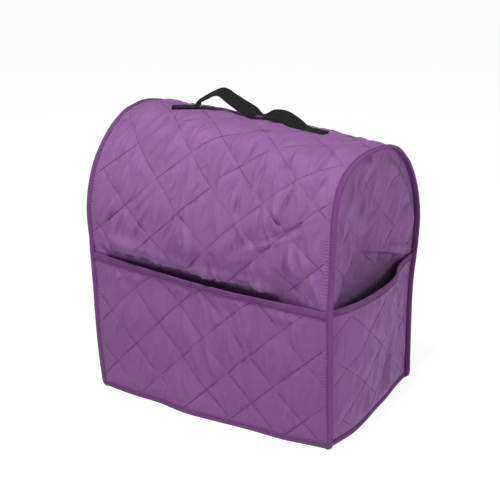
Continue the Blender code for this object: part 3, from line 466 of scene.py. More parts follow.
# Name, place, side in metres and power in watts
LAMPS = (("key_light", (0.05, -0.85, 2.1), 0.45, 46), ("side_light", (2.2, -0.3, 0.9), 0.7, 13))
WORLD_STRENGTH = 0.20
FLOOR_REACH = 30.0
FLOOR_PAINT = {"Base Color": (0.20, 0.20, 0.20, 1.0), "Roughness": 0.9,
               "Emission Color": WHITE, "Emission Strength": 0.90}

for name, place, side, power in LAMPS:
    light = bpy.data.lights.new(name, "AREA")
    light.shape = "RECTANGLE"
    light.size, light.size_y = side, side
    light.energy = power
    stand_and_look(add_object(name, light), place, LAMP_AIM - Vector(place))
world = bpy.data.worlds.new("studio")
world.use_nodes = True
world.node_tree.nodes["Background"].inputs["Color"].default_value = WHITE
world.node_tree.nodes["Background"].inputs["Strength"].default_value = WORLD_STRENGTH
bpy.context.scene.world = world
bpy.context.scene.view_settings.view_transform = "Standard"

floor_paint = bpy.data.materials.new("floor_paint")
floor_paint.use_nodes = True
for name, value in FLOOR_PAINT.items():
    floor_paint.node_tree.nodes["Principled BSDF"].inputs[name].default_value = value
floor_mesh = bpy.data.meshes.new("floor")
floor_corners = [(x * FLOOR_REACH, y * FLOOR_REACH, 0) for x, y in ((-1, -1), (1, -1), (1, 1), (-1, 1))]
floor_mesh.from_pydata(floor_corners, [], [(0, 1, 2, 3)])
floor_mesh.materials.append(floor_paint)
add_object("floor", floor_mesh)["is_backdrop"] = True
print("lamps:", len(LAMPS))

# %% [markdown]
# ## Shader helper
# Node trees are easier to read as sums. This small class wraps one socket, so that `a * 2 + b` adds
# the Math nodes by itself, and one method makes any other node from its type, settings and inputs.

# %% Sockets as expressions
class Wire:
    """One output socket, which sums and products can be written with."""

    def __init__(self, tree, socket):
        self.tree, self.socket = tree, socket

    def math(self, operation, *values):
        return Maker(self.tree).node("ShaderNodeMath", {"operation": operation}, (self, *values))

    def __add__(self, other):
        return self.math("ADD", other)

    def __sub__(self, other):
        return self.math("SUBTRACT", other)

    def __rsub__(self, other):
        return self.math("MULTIPLY", -1.0) + other

    def __mul__(self, other):
        return self.math("MULTIPLY", other)

    __radd__, __rmul__ = __add__, __mul__


class Maker:
    """Adds nodes to one tree."""

    def __init__(self, tree):
        self.tree = tree

    def node(self, kind, settings, values, out=0):
        """Makes one node: settings first, then its sockets in order or by name."""
        made = self.tree.nodes.new(kind)
        for name, value in settings.items():
            setattr(made, name, value)
        pairs = values.items() if isinstance(values, dict) else enumerate(values)
        for key, value in pairs:
            if isinstance(value, Wire):
                self.tree.links.new(value.socket, made.inputs[key])
            else:
                made.inputs[key].default_value = value
        return Wire(self.tree, made.outputs[out])

    def mix(self, factor, first, second):
        return self.node("ShaderNodeMix", {"data_type": "RGBA"}, {0: factor, 6: first, 7: second}, out=2)

    def noise(self, where, scale, detail=2.0):
        return self.node("ShaderNodeTexNoise", {}, {"Vector": where, "Scale": scale, "Detail": detail})

    def stretched(self, where, across, along, turn=0.0):
        values = {"Vector": where, "Rotation": (0, 0, turn), "Scale": (across, along, 1)}
        return self.node("ShaderNodeMapping", {}, values)

    def own_map(self, name):
        """A map of the mesh, and its two numbers apart."""
        whole = self.node("ShaderNodeUVMap", {"uv_map": name}, {})
        parts = self.tree.nodes.new("ShaderNodeSeparateXYZ")
        self.tree.links.new(whole.socket, parts.inputs[0])
        return whole, Wire(self.tree, parts.outputs[0]), Wire(self.tree, parts.outputs[1])


# %% [markdown]
# ## Materials
# The quilted face is a smooth woven polyester: a fine plain weave, a faint purple sheen where the cloth
# turns away, and a colour that wanders a little from dyeing. The tape is a denser twill, darker and
# rougher. The webbing is black polypropylene, ribbed across its width.
# Each pattern is laid out on the flat pattern's own map, in metres, so it follows the cloth.

# %% What every cloth shares
SHEEN_ROUGHNESS = 0.35
DULL = {"IOR": 1.22}     # dyed polyester hardly mirrors the white floor, and tints what it mirrors
DARKER = 0.6             # a thread's own shade, as a share of its colour


def opaque(colour):
    return (*colour, 1.0)


def start_cloth(name, colour, sheen, sheen_tint, settings):
    """A material, the maker of its nodes, its shader and its object coordinates."""
    material = bpy.data.materials.new(name)
    material.use_nodes = True
    material.diffuse_color = opaque(colour)
    tree = material.node_tree
    shader = tree.nodes["Principled BSDF"]
    values = {"Sheen Weight": sheen, "Sheen Roughness": SHEEN_ROUGHNESS, "Sheen Tint": opaque(sheen_tint)}
    for key, value in (values | settings).items():
        shader.inputs[key].default_value = value
    return material, Maker(tree), shader, Wire(tree, tree.nodes.new("ShaderNodeTexCoord").outputs["Object"])


def weave(u, v, across, along, twist=0.0):
    """Threads crossing over and under, from two sine waves on the flat map."""
    one = ((u + v * twist) * (math.tau / across)).math("SINE")
    two = ((v - u * twist) * (math.tau / along)).math("SINE")
    return one * two


def finish_cloth(make, shader, colour, roughness, height, distance, strength):
    bump = make.node("ShaderNodeBump", {}, {"Distance": distance, "Strength": strength, "Height": height})
    for name, wire in (("Base Color", colour), ("Roughness", roughness), ("Normal", bump)):
        make.tree.links.new(wire.socket, shader.inputs[name])


# %% Quilted cloth
CLOTH_THREAD = 0.00062   # pitch of the weave
LINE_SHARP = 55.0        # turns a share of a diamond into widths of the groove beside a stitch line


def quilted_cloth(name, light, deep):
    settings = DULL | {"Specular Tint": (0.90, 0.66, 0.94, 1.0)}
    material, make, shader, spot = start_cloth(name, light, 0.04, (0.80, 0.52, 0.86), settings)
    flat, u, v = make.own_map("flat")
    # The colour wanders in clouds and along the threads, and along each stitch line it takes the thread's
    # darker tone and painted shade of the groove that the thread draws in
    drift = make.noise(spot, 9.0)
    slub = make.noise(make.stretched(flat, 90, 900), 1.0)
    to_rising, to_falling = (line.math("PINGPONG", 0.5) for line in make.own_map("lattice")[1:])
    fade = make.noise(spot, 14.0) * 0.020
    nearest = (to_rising + fade - 0.006).math("MINIMUM", to_falling + fade) * LINE_SHARP
    groove = (nearest * nearest * -2.0).math("EXPONENT")
    # partly painted shade: the narrow dark band along each stitch line is the thread's own darker tone and
    # the shade of its groove
    thread_and_groove_shade = (nearest * nearest * -7.0).math("EXPONENT")
    body = make.mix(drift * 0.55 + slub * 0.25, opaque(light), opaque(deep))
    colour = make.mix(thread_and_groove_shade * 0.42, body, opaque([value * 0.5 for value in deep]))
    roughness = 0.46 + drift * 0.14 + groove * 0.1
    # Its relief: the weave, long wrinkles, crushed patches, and cloth gathered at seams and hems
    wrinkle = make.noise(make.stretched(flat, 170, 38, 0.15), 1.0, 3.0)
    crush = make.noise(make.stretched(flat, 60, 17, -0.2), 1.0) * 2.0 - 1.0
    crushed = (1.0 - crush.math("ABSOLUTE") * 5.0).math("MAXIMUM", 0.0)
    patches = (make.noise(spot, 22.0) * 5.0 - 1.9).math("MAXIMUM", 0.0)
    beside_seam = ((u.math("ABSOLUTE") - FLAT_X) * 190.0).math("EXPONENT")
    above_hem = (v * -45.0).math("EXPONENT")
    wander = make.noise(spot, 60.0)
    pulled = (v * 1500.0 + wander * 16.0).math("SINE") * beside_seam
    gathered = (u * 420.0 + wander * 4.0).math("SINE") * above_hem
    height = weave(u, v, CLOTH_THREAD, CLOTH_THREAD) * 0.05 + wrinkle * 1.1 - groove * 0.9
    height = height + crushed * patches * 0.9 + pulled * patches * 0.24 + gathered * 0.25
    finish_cloth(make, shader, colour, roughness, height, 0.0011, 0.7)
    return material


cover_cloth = quilted_cloth("quilted_cloth", (0.250, 0.112, 0.278), (0.190, 0.078, 0.219))
# painted shade: the front pocket is the same fabric as the cover, given darker colours for the weaker light
# low on the front
pocket_cloth = quilted_cloth("pocket_cloth", (0.236, 0.099, 0.262), (0.180, 0.069, 0.206))
print("cloth nodes:", len(cover_cloth.node_tree.nodes))

# %% Twill tape, webbing and thread
def twill_tape(name, light, deep):
    settings = DULL | {"Specular Tint": (0.90, 0.62, 0.94, 1.0)}
    material, make, shader, spot = start_cloth(name, light, 0.03, (0.75, 0.5, 0.8), settings)
    u, v = make.own_map("flat")[1:]
    rib = weave(u, v, 0.0011, 0.0011, twist=1.0)
    drift = make.noise(spot, 30.0)
    body = make.mix(drift * 0.5 + rib * 0.18 + 0.15, opaque(light), opaque(deep))
    finish_cloth(make, shader, body, 0.64 + drift * 0.14, rib + drift, 0.00030, 0.6)
    return material


def webbing(name, light, deep):
    settings = {"Specular IOR Level": 0.2}
    material, make, shader, spot = start_cloth(name, light, 0.02, (0.4, 0.4, 0.42), settings)
    u, v = make.own_map("flat")[1:]
    rib = weave(u, v, 0.0022, 0.0026, twist=0.25)
    drift = make.noise(spot, 60.0)
    body = make.mix(rib * 0.5 + drift * 0.4, opaque(light), opaque(deep))
    finish_cloth(make, shader, body, 0.7 + drift * 0.2, rib, 0.0004, 0.8)
    return material


def thread(name, colour):
    material, make, shader, spot = start_cloth(name, colour, 0.1, colour, {})
    drift = make.noise(spot, 400.0)
    body = make.mix(drift, opaque(colour), opaque([value * DARKER for value in colour]))
    finish_cloth(make, shader, body, 0.45 + drift * 0.2, drift, 0.0002, 0.5)
    return material


edge_tape = twill_tape("twill_tape", (0.200, 0.072, 0.226), (0.132, 0.045, 0.156))
strap_cloth = webbing("black_webbing", (0.010, 0.010, 0.011), (0.003, 0.003, 0.0035))
cover_thread = thread("purple_thread", (0.085, 0.030, 0.100))
strap_thread = thread("black_thread", (0.030, 0.030, 0.032))
print("materials:", [item.name for item in (cover_cloth, edge_tape, strap_cloth)])

# %% [markdown]
# ## Cutting and meshing a sheet
# A sheet of cloth has two faces and an edge. Both faces are cut from the same flat outline: the outer
# one is filled with points along the stitch lines, close enough to hold the creases, and the inner one
# with far fewer, because nobody looks at it closely. A Delaunay triangulation joins them, and a narrow
# wall closes the edge, so that the sheet has its real thickness.

# %% Points and triangles of a pattern
FINE_STEPS = 28          # points along one side of a diamond, outside
COARSE_STEPS = 4         # and inside
FINE_MARGIN = 0.0012     # points keep this far from the outline, outside
COARSE_MARGIN = 0.004    # and inside
FAR = 9.0
WELD = 1e-8


def inside_loop(u, v, loop):
    """Which points lie inside a closed outline."""
    found = np.zeros(u.shape, bool)
    for (u0, v0), (u1, v1) in zip(loop, np.roll(loop, -1, axis=0)):
        if v0 != v1:
            found ^= ((v0 > v) != (v1 > v)) & (u < (u1 - u0) * (v - v0) / (v1 - v0) + u0)
    return found


def line_gap(u, v, starts, ends):
    """Distance of each point to the nearest of some straight lines."""
    nearest = np.full(np.shape(u), FAR)
    for start, end in zip(starts, ends):
        line = end - start
        t = ((u - start[0]) * line[0] + (v - start[1]) * line[1]) / max(line @ line, 1e-12)
        t = np.clip(t, 0, 1)
        nearest = np.minimum(nearest, np.hypot(u - start[0] - t * line[0], v - start[1] - t * line[1]))
    return nearest


def loop_gap(u, v, loop):
    return line_gap(u, v, loop, np.roll(loop, -1, axis=0))


def quilt_points(quilt, loop, steps, margin):
    """Points along and between the stitch lines, inside the outline."""
    grid = np.arange(-CELLS * steps, CELLS * steps + 1) / steps
    p, q = (value.ravel() for value in np.meshgrid(grid, grid))
    u, v = quilt.spot(p, q)
    low, high = loop.min(0), loop.max(0)
    near = (u > low[0]) & (u < high[0]) & (v > low[1]) & (v < high[1])
    u, v = u[near], v[near]
    keep = inside_loop(u, v, loop)
    u, v = u[keep], v[keep]
    keep = loop_gap(u, v, loop) > margin
    return np.stack([u[keep], v[keep]], axis=-1)


def fill(loop, field):
    """Triangles over an outline and the points inside it."""
    points = [tuple(point) for point in np.concatenate([loop, field])]
    result = delaunay_2d_cdt(points, [], [list(range(len(loop)))], 1, WELD)
    order = [sources[0] for sources in result[3]]
    return np.array([[order[index] for index in face] for face in result[2]])


def add_map(mesh, name, values):
    """A map of two numbers per point."""
    layer = mesh.uv_layers.new(name=name)
    order = np.zeros(len(mesh.loops), int)
    mesh.loops.foreach_get("vertex_index", order)
    layer.data.foreach_set("uv", values[order].astype(np.float32).ravel())


def save_mesh(name, points, faces, flat, material, lattice=None):
    """One object at the origin with its flat map, facing outward."""
    points = points - CENTRE
    corners = points[faces[:, :3]]
    volume = np.einsum("ij,ij->i", corners[:, 0], np.cross(corners[:, 1], corners[:, 2])).sum()
    if volume < 0:
        faces = faces[:, ::-1]
    mesh = bpy.data.meshes.new(name)
    mesh.from_pydata(points.tolist(), [], faces.tolist())
    add_map(mesh, "flat", flat)
    if lattice is not None:
        add_map(mesh, "lattice", lattice)
    mesh.materials.append(material)
    mesh.shade_smooth()
    return add_object(name, mesh)


def two_triangles(a, b, c, d):
    """Two triangles for each four-sided face, given as four lists of corners."""
    return np.concatenate([np.stack([a, b, c], axis=-1), np.stack([a, c, d], axis=-1)])


# %% A closed sheet from one outline
def sew_sheet(name, loop, quilt, place, material, turned_edge=None):
    """place stands the points of a face up; turned_edge adds a strip beyond its outline."""
    sides = []
    for outer, steps, margin in ((True, FINE_STEPS, FINE_MARGIN), (False, COARSE_STEPS, COARSE_MARGIN)):
        field = quilt_points(quilt, loop, steps, margin)
        flat = np.concatenate([loop, field])
        side = place(flat[:, 0], flat[:, 1], outer), fill(loop, field), flat, np.arange(len(loop))
        sides.append(turned_edge(outer, *side) if turned_edge else side)
    (outer, outer_faces, outer_flat, rim_out), (inner, inner_faces, inner_flat, rim_in) = sides
    count = len(outer)
    rim_in = rim_in + count
    walls = two_triangles(np.roll(rim_out, -1), rim_out, rim_in, np.roll(rim_in, -1))
    faces = np.concatenate([outer_faces, inner_faces[:, ::-1] + count, walls])
    flat = np.concatenate([outer_flat, inner_flat])
    lattice = np.stack(quilt.lattice(flat[:, 0], flat[:, 1]), axis=-1)
    lattice[count:] += 0.5
    return save_mesh(name, np.concatenate([outer, inner]), faces, flat, material, lattice)


print("points along one side of a diamond:", FINE_STEPS)

# %% [markdown]
# ## The long panel
# Its offsets from the smooth course add up: the wadding's puff, the listed folds, the creases of
# each diamond and the puckers at the thread. All of them fade to nothing at the pressed seams, behind
# the pocket and under the strap's sewn ends. Over the crown the creases are shallower, because the
# cloth is drawn tight there.

# %% Long panel
PANEL_CREASES = {"count": 7, "seed": 11, "strength": 2.0}
CROWN_TIGHT = 0.70       # share of the creases that the crown draws out, and where along the panel
CROWN_FROM, CROWN_FROM_SPAN = 0.415, 0.045
CROWN_TO, CROWN_TO_SPAN = 0.600, 0.040
RIM_STEP = 0.0030


def pressed(value, limit):
    """1 where the quilting is free, and 0 from the limit on, where it is pressed flat."""
    return smooth((limit - value) / SEAM_SPAN)


def tab_press(x, s):
    """1 under the strap's sewn ends and 0 elsewhere."""
    y = course_point(x, s)[..., 0]
    press = np.zeros_like(x)
    for tab_x, tab_y, half_length in TABS:
        near = np.maximum(np.abs(x - tab_x) / half_length, np.abs(y - tab_y) / TAB_HALF_WIDTH)
        press = np.maximum(press, smooth((TAB_REACH - near) / TAB_SPAN))
    return press * ((s > TAB_STRETCH[0]) & (s < TAB_STRETCH[1]))


def panel_lean(u, v):
    """Creases run up the cover, leaning right low down and left towards the crown."""
    return 90 + 14 * math.sin(v / 0.075) + 10 * math.sin(u / 0.06)


def top_rise(x):
    """How far the front pocket's top edge is pulled up here."""
    return TOP_RISE * np.clip((FLAT_X - x) / (2 * FLAT_X), 0, 1) ** TOP_RISE_SHAPE


def on_panel(x, s):
    """Height on the panel of a height on the front pocket's own pattern."""
    return s + top_rise(x) * smooth(s / POCKET_TOP)


def panel_place(x, s, outer):
    edge = pressed(np.abs(x), FLAT_X) * pressed(-np.minimum(s, LENGTH - s), -FLAT_HEM)
    free = edge * smooth((s - POCKET_TOP - top_rise(x) - FOLD_START) / FOLD_EASE)
    free = free * (1 - tab_press(x, s))
    puff = PANEL_QUILT.puff(x, s)
    rise = (folds(PANEL_FOLDS, x, s) + folds(LIP_FOLDS, x, s)) * free
    if not outer:
        return wrap(x, s, rise - EDGE - PILLOW_INSIDE * puff * free - LOFT * edge)
    over_crown = smooth((s - CROWN_FROM) / CROWN_FROM_SPAN) * (1 - smooth((s - CROWN_TO) / CROWN_TO_SPAN))
    crease = PANEL_QUILT.creases(x, s, panel_lean, **PANEL_CREASES) * (1 - CROWN_TIGHT * over_crown)
    pucker = PUCKER * PANEL_QUILT.puckers(x, s)
    return wrap(x, s, rise + (PILLOW * puff + crease + pucker) * free)


def outline_rectangle(x_end, s_low, s_high, step):
    """Anticlockwise points round a rectangle of the pattern."""
    across = np.linspace(-x_end, x_end, round(2 * x_end / step) + 1)
    up = np.linspace(s_low, s_high, round((s_high - s_low) / step) + 1)
    low = [(x, s_low) for x in across[:-1]]
    right = [(x_end, s) for s in up[:-1]]
    high = [(x, s_high) for x in across[::-1][:-1]]
    left = [(-x_end, s) for s in up[::-1][:-1]]
    return np.array(low + right + high + left)


panel_loop = outline_rectangle(CLOTH_EDGE, TAPE + GAP, LENGTH - TAPE - GAP, RIM_STEP)
main_panel = sew_sheet("cover_main_panel", panel_loop, PANEL_QUILT, panel_place, cover_cloth)
print("long panel faces:", len(main_panel.data.polygons))

# %% [markdown]
# ## The front pocket
# The pocket is a second layer over the lower front. It is flat where the seams and the hem hold it,
# and its belly stands off the panel so that things can be slipped in behind it. Its top edge climbs
# towards the left seam, as sewn work often does where a layer creeps under the needle.

# %% Front pocket
POCKET_CREASES = {"count": 6, "seed": 23, "strength": 1.35}


def front_pocket_base(x, s):
    """Offset of the pocket's inner face from the panel's course."""
    room = POCKET_ROOM * smooth((s - ROOM_LOW) / ROOM_SPAN)
    belly = (1 - np.clip(np.abs(x) / FLAT_X, 0, 1) ** BELLY_SHAPE) * smooth(s / POCKET_TOP)
    sway = 1 + SWAY * np.sin(x / SWAY_LENGTH + SWAY_START)
    return GAP + room + POCKET_BELLY * belly * sway


def pocket_lean(u, v):
    return 92 + 16 * math.sin(u / 0.05 + 1.0)


def pocket_edge(x, s):
    """1 where the pocket's quilting is free of seams, hem and top binding."""
    return (pressed(np.abs(x), FLAT_X) * pressed(-s, -FLAT_HEM)
            * pressed(s, POCKET_TOP - POCKET_BINDING_DEEP))


def front_pocket_place(x, s, outer):
    base, height = front_pocket_base(x, s), on_panel(x, s)
    if not outer:
        return wrap(x, height, base)
    crease = POCKET_QUILT.creases(x, s, pocket_lean, **POCKET_CREASES)
    pucker = PUCKER * POCKET_QUILT.puckers(x, s)
    folded = np.maximum(folds(FRONT_POCKET_FOLDS, x, s) + crease + pucker, -DEEPEST_TROUGH)
    edge = pocket_edge(x, s)
    return wrap(x, height, base + EDGE + LOFT * edge + edge * (POCKET_QUILT.puff(x, s) * PILLOW + folded))


pocket_loop = outline_rectangle(CLOTH_EDGE, TAPE + GAP, POCKET_TOP, RIM_STEP)
front_pocket = sew_sheet("cover_front_pocket", pocket_loop, POCKET_QUILT, front_pocket_place, pocket_cloth)
print("front pocket faces:", len(front_pocket.data.polygons))

# %% [markdown]
# ## Side panels
# Each side is an arch whose edge is turned outward into the seam. The right one is sunk where nothing
# holds it up, with a deep dimple over the pocket; the left one is plainer.

# %% Seam tables and the side faces
ARCH = np.linspace(0, LENGTH, 345)
ARCH_END = 0.003         # stations nearer to a hem than this give way to the hem's own
SIDE_Y = (-0.104, 0.108) # between these the hem's bow is read from its table
HEM_POINTS = 82
SIDE_START = 0.002       # the quilting starts to rise this far in from the seam
LEFT_BOW = 0.6           # the left hem bows less than the right one
SIDE_CREASES = {"count": 5, "strength": 1.4}


def seam_line(side, s, offset):
    """(y, z) along a seam."""
    return wrap(side * SIDE_X, s, offset)[..., 1:]


def seam_limits(side, offset):
    """Tables of y against z for the front and the back of one seam."""
    front = seam_line(side, ARCH[ARCH < FOOT], offset)
    rear = seam_line(side, ARCH[ARCH > LENGTH - FOOT], offset)[::-1]
    return {"front": (front[:, 1], front[:, 0]), "back": (rear[:, 1], rear[:, 0])}


CLOTH_ENDS = {side: seam_limits(side, -EDGE - LAYER) for side in (1, -1)}
TAPE_ENDS = {side: seam_limits(side, -EDGE - LAYER - GAP - TAPE - 1.5 * GAP) for side in (1, -1)}
SIDE_LOOPS = {side: seam_line(side, ARCH[::4], -EDGE - LAYER) for side in (1, -1)}
INNER_LOOPS = {side: SIDE_LOOPS[side][3:-3] for side in (1, -1)}


def from_table(table, y):
    places, values = np.array(table).T
    return curve_through(places, values, y)


def side_x(side, y, z):
    """How far out a side panel's face stands."""
    inside = smooth(loop_gap(y, z, INNER_LOOPS[side]) / SIDE_EASE)
    front_y = np.interp(z, *CLOTH_ENDS[side]["front"])
    back_y = np.interp(z, *CLOTH_ENDS[side]["back"])
    from_front = (y - front_y) / (SIDE_Y[0] - front_y)
    from_back = (back_y - y) / (back_y - SIDE_Y[1])
    bow = from_table(SIDE_HEM_BOW, np.clip(y, *SIDE_Y)) * (1 - smooth(z / BOW_HEIGHT))
    bow = bow * np.clip(np.minimum(from_front, from_back), 0, 1)
    table, strength = (RIGHT_SIDE_FOLDS, 1.0) if side > 0 else (LEFT_SIDE_FOLDS, LEFT_BOW)
    return SIDE_X + inside * folds(table, y, z) + strength * bow


def arch_gap(side, y, z):
    """Distance to the seam, leaving the open hem out."""
    line = SIDE_LOOPS[side]
    return line_gap(y, z, line[:-1], line[1:])


# %% Side panels
def side_lean(u, v):
    return 80 + 20 * math.sin(v / 0.06 + u / 0.05)


def match_winding(faces, strip):
    """Turns a strip round where it runs the same way as the face beside its first edge."""
    edge = tuple(strip[0][:2])
    same_way = any(edge in zip(face, np.roll(face, -1)) for face in faces)
    return strip[:, ::-1] if same_way else strip


def side_panel(name, side, seed):
    stations = ARCH[(ARCH > ARCH_END) & (ARCH < LENGTH - ARCH_END)]
    stations = np.concatenate([[TAPE + GAP], stations, [LENGTH - TAPE - GAP]])
    arch = seam_line(side, stations, -EDGE - LAYER)
    arch[0, 1] = arch[-1, 1] = TAPE + GAP
    hem_y = np.linspace(arch[-1, 0], arch[0, 0], HEM_POINTS)[1:-1]
    loop = np.concatenate([arch, np.stack([hem_y, np.full_like(hem_y, TAPE + GAP)], axis=-1)])
    count = len(arch)

    def place(y, z, outer):
        edge = smooth((arch_gap(side, y, z) - SIDE_START) / SEAM_SPAN) * pressed(-z, -FLAT_HEM)
        x = side_x(side, y, z)
        free = edge
        if side > 0:
            free = edge * smooth((z - POCKET_TOP - FOLD_START) / FOLD_EASE)
            x = x + folds(SIDE_LIP_FOLDS, y, z) * free
        if outer:
            crease = SIDE_QUILT.creases(y, z, side_lean, seed=seed, **SIDE_CREASES)
            pucker = PUCKER * SIDE_QUILT.puckers(y, z)
            x = x + (PILLOW * SIDE_QUILT.puff(y, z) + crease + pucker) * free
        else:
            x = x - EDGE - LOFT * edge
        points = np.stack([side * x, y, z], axis=-1)
        points[:count] = wrap(side * (SIDE_X if outer else SIDE_X - EDGE), stations,
                              -EDGE - LAYER if outer else -LAYER)
        return points

    def turn_out(outer, points, faces, flat, rim):
        """Adds the edge that is turned out into the seam."""
        lip = wrap(side * CLOTH_EDGE, stations, -EDGE - LAYER if outer else -LAYER)
        seam = rim[:count]
        new = seam + len(points)
        strip = two_triangles(seam[1:], seam[:-1], new[:-1], new[1:])
        faces = np.concatenate([faces, match_winding(faces, strip)])
        return (np.concatenate([points, lip]), faces, np.concatenate([flat, flat[:count]]),
                np.concatenate([new, rim[count:]]))

    return sew_sheet(name, loop, SIDE_QUILT, place, cover_cloth, turn_out)


side_right = side_panel("cover_side_right", 1, 31)
side_left = side_panel("cover_side_left", -1, 37)
print("side panel faces:", len(side_right.data.polygons), len(side_left.data.polygons))

# %% [markdown]
# ## The side pocket
# Its top edge is longer than the panel behind it, so it gapes: it bows outward, turns sharply back in
# near the rear seam, and drops a trough and a ridge down its face.

# %% Side pocket
SIDE_POCKET_START = 0.004
SIDE_POCKET_ROWS = 66


def side_pocket_face(y, z):
    """How far out the side pocket's inner face stands."""
    top = from_table(SIDE_POCKET_EDGE, y)
    hem = side_x(1, y, np.zeros_like(y)) + LAYER
    up = np.clip(z / POCKET_TOP, 0, 1) ** SIDE_POCKET_SHAPE
    shape = folds(SIDE_POCKET_FOLDS, y, z) * smooth(arch_gap(1, y, z) / SIDE_POCKET_EASE)
    under_top = FOLDS_AT_TOP + (1 - FOLDS_AT_TOP) * smooth((POCKET_TOP - z) / ROOM_SPAN)
    shape = shape * smooth((z - FLAT_HEM) / ROOM_SPAN) * under_top
    least = side_x(1, y, z) + LAYER + SIDE_POCKET_ROOM * smooth((z - ROOM_LOW) / ROOM_SPAN)
    return np.maximum(hem * (1 - up) + top * up + shape, least)


def side_pocket_place(y, z, outer):
    x = side_pocket_face(y, z)
    if not outer:
        return np.stack([x - EDGE, y, z], axis=-1)
    edge = pressed(-z, -FLAT_HEM) * pressed(z, POCKET_TOP - POCKET_BINDING_DEEP)
    edge = edge * smooth((arch_gap(1, y, z) - SIDE_POCKET_START) / SEAM_SPAN)
    crease = SIDE_POCKET_QUILT.creases(y, z, side_lean, seed=41, **SIDE_CREASES)
    pucker = PUCKER * SIDE_POCKET_QUILT.puckers(y, z)
    puff = SIDE_POCKET_QUILT.puff(y, z)
    rise = np.maximum(puff * PILLOW + crease + pucker, -SIDE_DEEPEST) * edge
    return np.stack([x + rise, y, z], axis=-1)


def side_edges(heights):
    """(y, z) up the front and the rear edge of what is sewn between the seams' tapes."""
    return (np.stack([np.interp(heights, *TAPE_ENDS[1][end]), heights], axis=-1) for end in ("front", "back"))


front, rear = side_edges(np.linspace(TAPE + GAP, POCKET_TOP, SIDE_POCKET_ROWS))
low = np.linspace(front[0], rear[0], HEM_POINTS)[:-1]
high = np.linspace(rear[-1], front[-1], HEM_POINTS)[:-1]
side_pocket_loop = np.concatenate([low, rear[:-1], high, front[::-1][:-1]])
side_pocket = sew_sheet("cover_side_pocket", side_pocket_loop, SIDE_POCKET_QUILT, side_pocket_place,
                        cover_cloth)
print("side pocket faces:", len(side_pocket.data.polygons))

# %% [markdown]
# ## Bindings
# Every raw edge is closed by a tape folded over it. Its section is a U with a rounded fold, swept
# along the edge in the pattern's own numbers, so it always sits on its layers. Small slow waves in
# the tape's width and lift keep it from looking machined.

# %% Folded tape
TAPE_BEND = 0.0012       # length of the rounded fold
TAPE_SOFT = TAPE * 0.3
TAPE_SHARP = 60
# Triangles that close the U at one end: outer wall, fold and inner wall
TAPE_CAP = np.array([(0, 15, 16), (0, 1, 15), (1, 2, 15), (2, 14, 15), (2, 3, 14), (3, 4, 14), (4, 5, 14),
                     (5, 13, 14), (5, 6, 13), (6, 7, 13), (7, 8, 13), (8, 12, 13), (8, 9, 12), (9, 10, 12),
                     (10, 11, 12)])


def tape_section(deep, outer, inner):
    """(depth, offset) pairs round the folded tape, with a rounded fold and soft free edges."""
    top, low = outer + TAPE, inner - TAPE
    middle, half = (top + low) / 2, (top - low) / 2
    end, bend = deep - TAPE_SOFT, TAPE_BEND
    return np.array((
        (end, top), (deep * 0.66, top), (deep * 0.33, top), (bend, top),
        (bend * 0.3, middle + half * 0.72), (0.0, middle), (bend * 0.3, middle - half * 0.72),
        (bend, low), (deep * 0.33, low), (deep * 0.66, low), (end, low),
        (deep, inner - TAPE / 2), (deep, inner), (TAPE, inner), (TAPE, outer), (deep, outer),
        (deep, outer + TAPE / 2)))


def sweep(name, rings, lengths, around, cap, material, sharp):
    """Joins rings of points, maps them flat and closes both ends with the cap's triangles."""
    size = len(rings[0])
    start = np.arange(len(rings) - 1)[:, None] * size
    a = (start + np.arange(size)[None]).ravel()
    b = (start + (np.arange(size)[None] + 1) % size).ravel()
    last = (len(rings) - 1) * size
    faces = np.concatenate([two_triangles(a, b, b + size, a + size), cap[:, ::-1], cap + last])
    flat = np.stack([np.repeat(lengths, size), np.tile(around, len(rings))], axis=-1)
    piece = save_mesh(name, np.concatenate(rings), faces, flat, material)
    piece.data.set_sharp_from_angle(angle=math.radians(sharp))
    return piece


def sweep_tape(name, rings, lengths):
    girth = np.linalg.norm(np.diff(rings[0], axis=0), axis=1)
    around = np.concatenate([[0.0], np.cumsum(girth)])
    return sweep(name, rings, lengths, around, TAPE_CAP, edge_tape, TAPE_SHARP)


def tape_wave(s, seed):
    """A slow unevenness along a tape, between -1 and 1."""
    return (np.sin(s * 61 + seed) + 0.6 * np.sin(s * 143 + 2.3 * seed) + 0.4 * np.sin(s * 310 + seed)) / 2


# %% Seam bindings
SEAM_RINGS = 340
DEPTH_WAVE = 0.0004      # how much a tape's depth wanders
LIFT_WAVE = 0.00012      # and how far it lifts off


def over_pocket(side, s):
    """How far the pocket's edge lifts a seam's tape off the panel."""
    tape_top = POCKET_TOP + top_rise(side * CLOTH_EDGE) + TAPE + GAP
    face = front_pocket_base(np.full_like(s, CLOTH_EDGE), np.minimum(s, POCKET_TOP)) + EDGE
    return GAP + (1 - smooth((s - tape_top) / POCKET_STEP)) * face


def seam_lift(side, s):
    return LIFT_WAVE * (1 + tape_wave(s, side + 5))


def seam_binding(name, side):
    stations = np.linspace(0.0, LENGTH, SEAM_RINGS)
    rings = []
    for s, outer in zip(stations, over_pocket(side, stations) + seam_lift(side, stations)):
        depth, offset = tape_section(BINDING_DEEP + DEPTH_WAVE * tape_wave(s, side + 2), outer,
                                     -EDGE - LAYER - GAP).T
        rings.append(wrap(side * (SEAM_OUT - depth), s, offset))
    return sweep_tape(name, rings, stations)


binding_right = seam_binding("cover_seam_binding_right", 1)
binding_left = seam_binding("cover_seam_binding_left", -1)
print("seam binding faces:", len(binding_right.data.polygons))

# %% Hem and pocket bindings
LONG_RINGS, SIDE_RINGS = 117, 86
SIDE_SPAN = 0.24         # length that a side's tape is mapped to
POCKET_TAPE_DEEP = POCKET_BINDING_DEEP + TAPE + GAP
OUTER_END = SEAM_OUT - BINDING_DEEP - GAP
INNER_END = SIDE_X - EDGE - 2 * GAP


def hem_outer(rear):
    """A hem's tape lies on the pocket in front, and on the panel alone behind."""
    return GAP if rear else GAP + LAYER


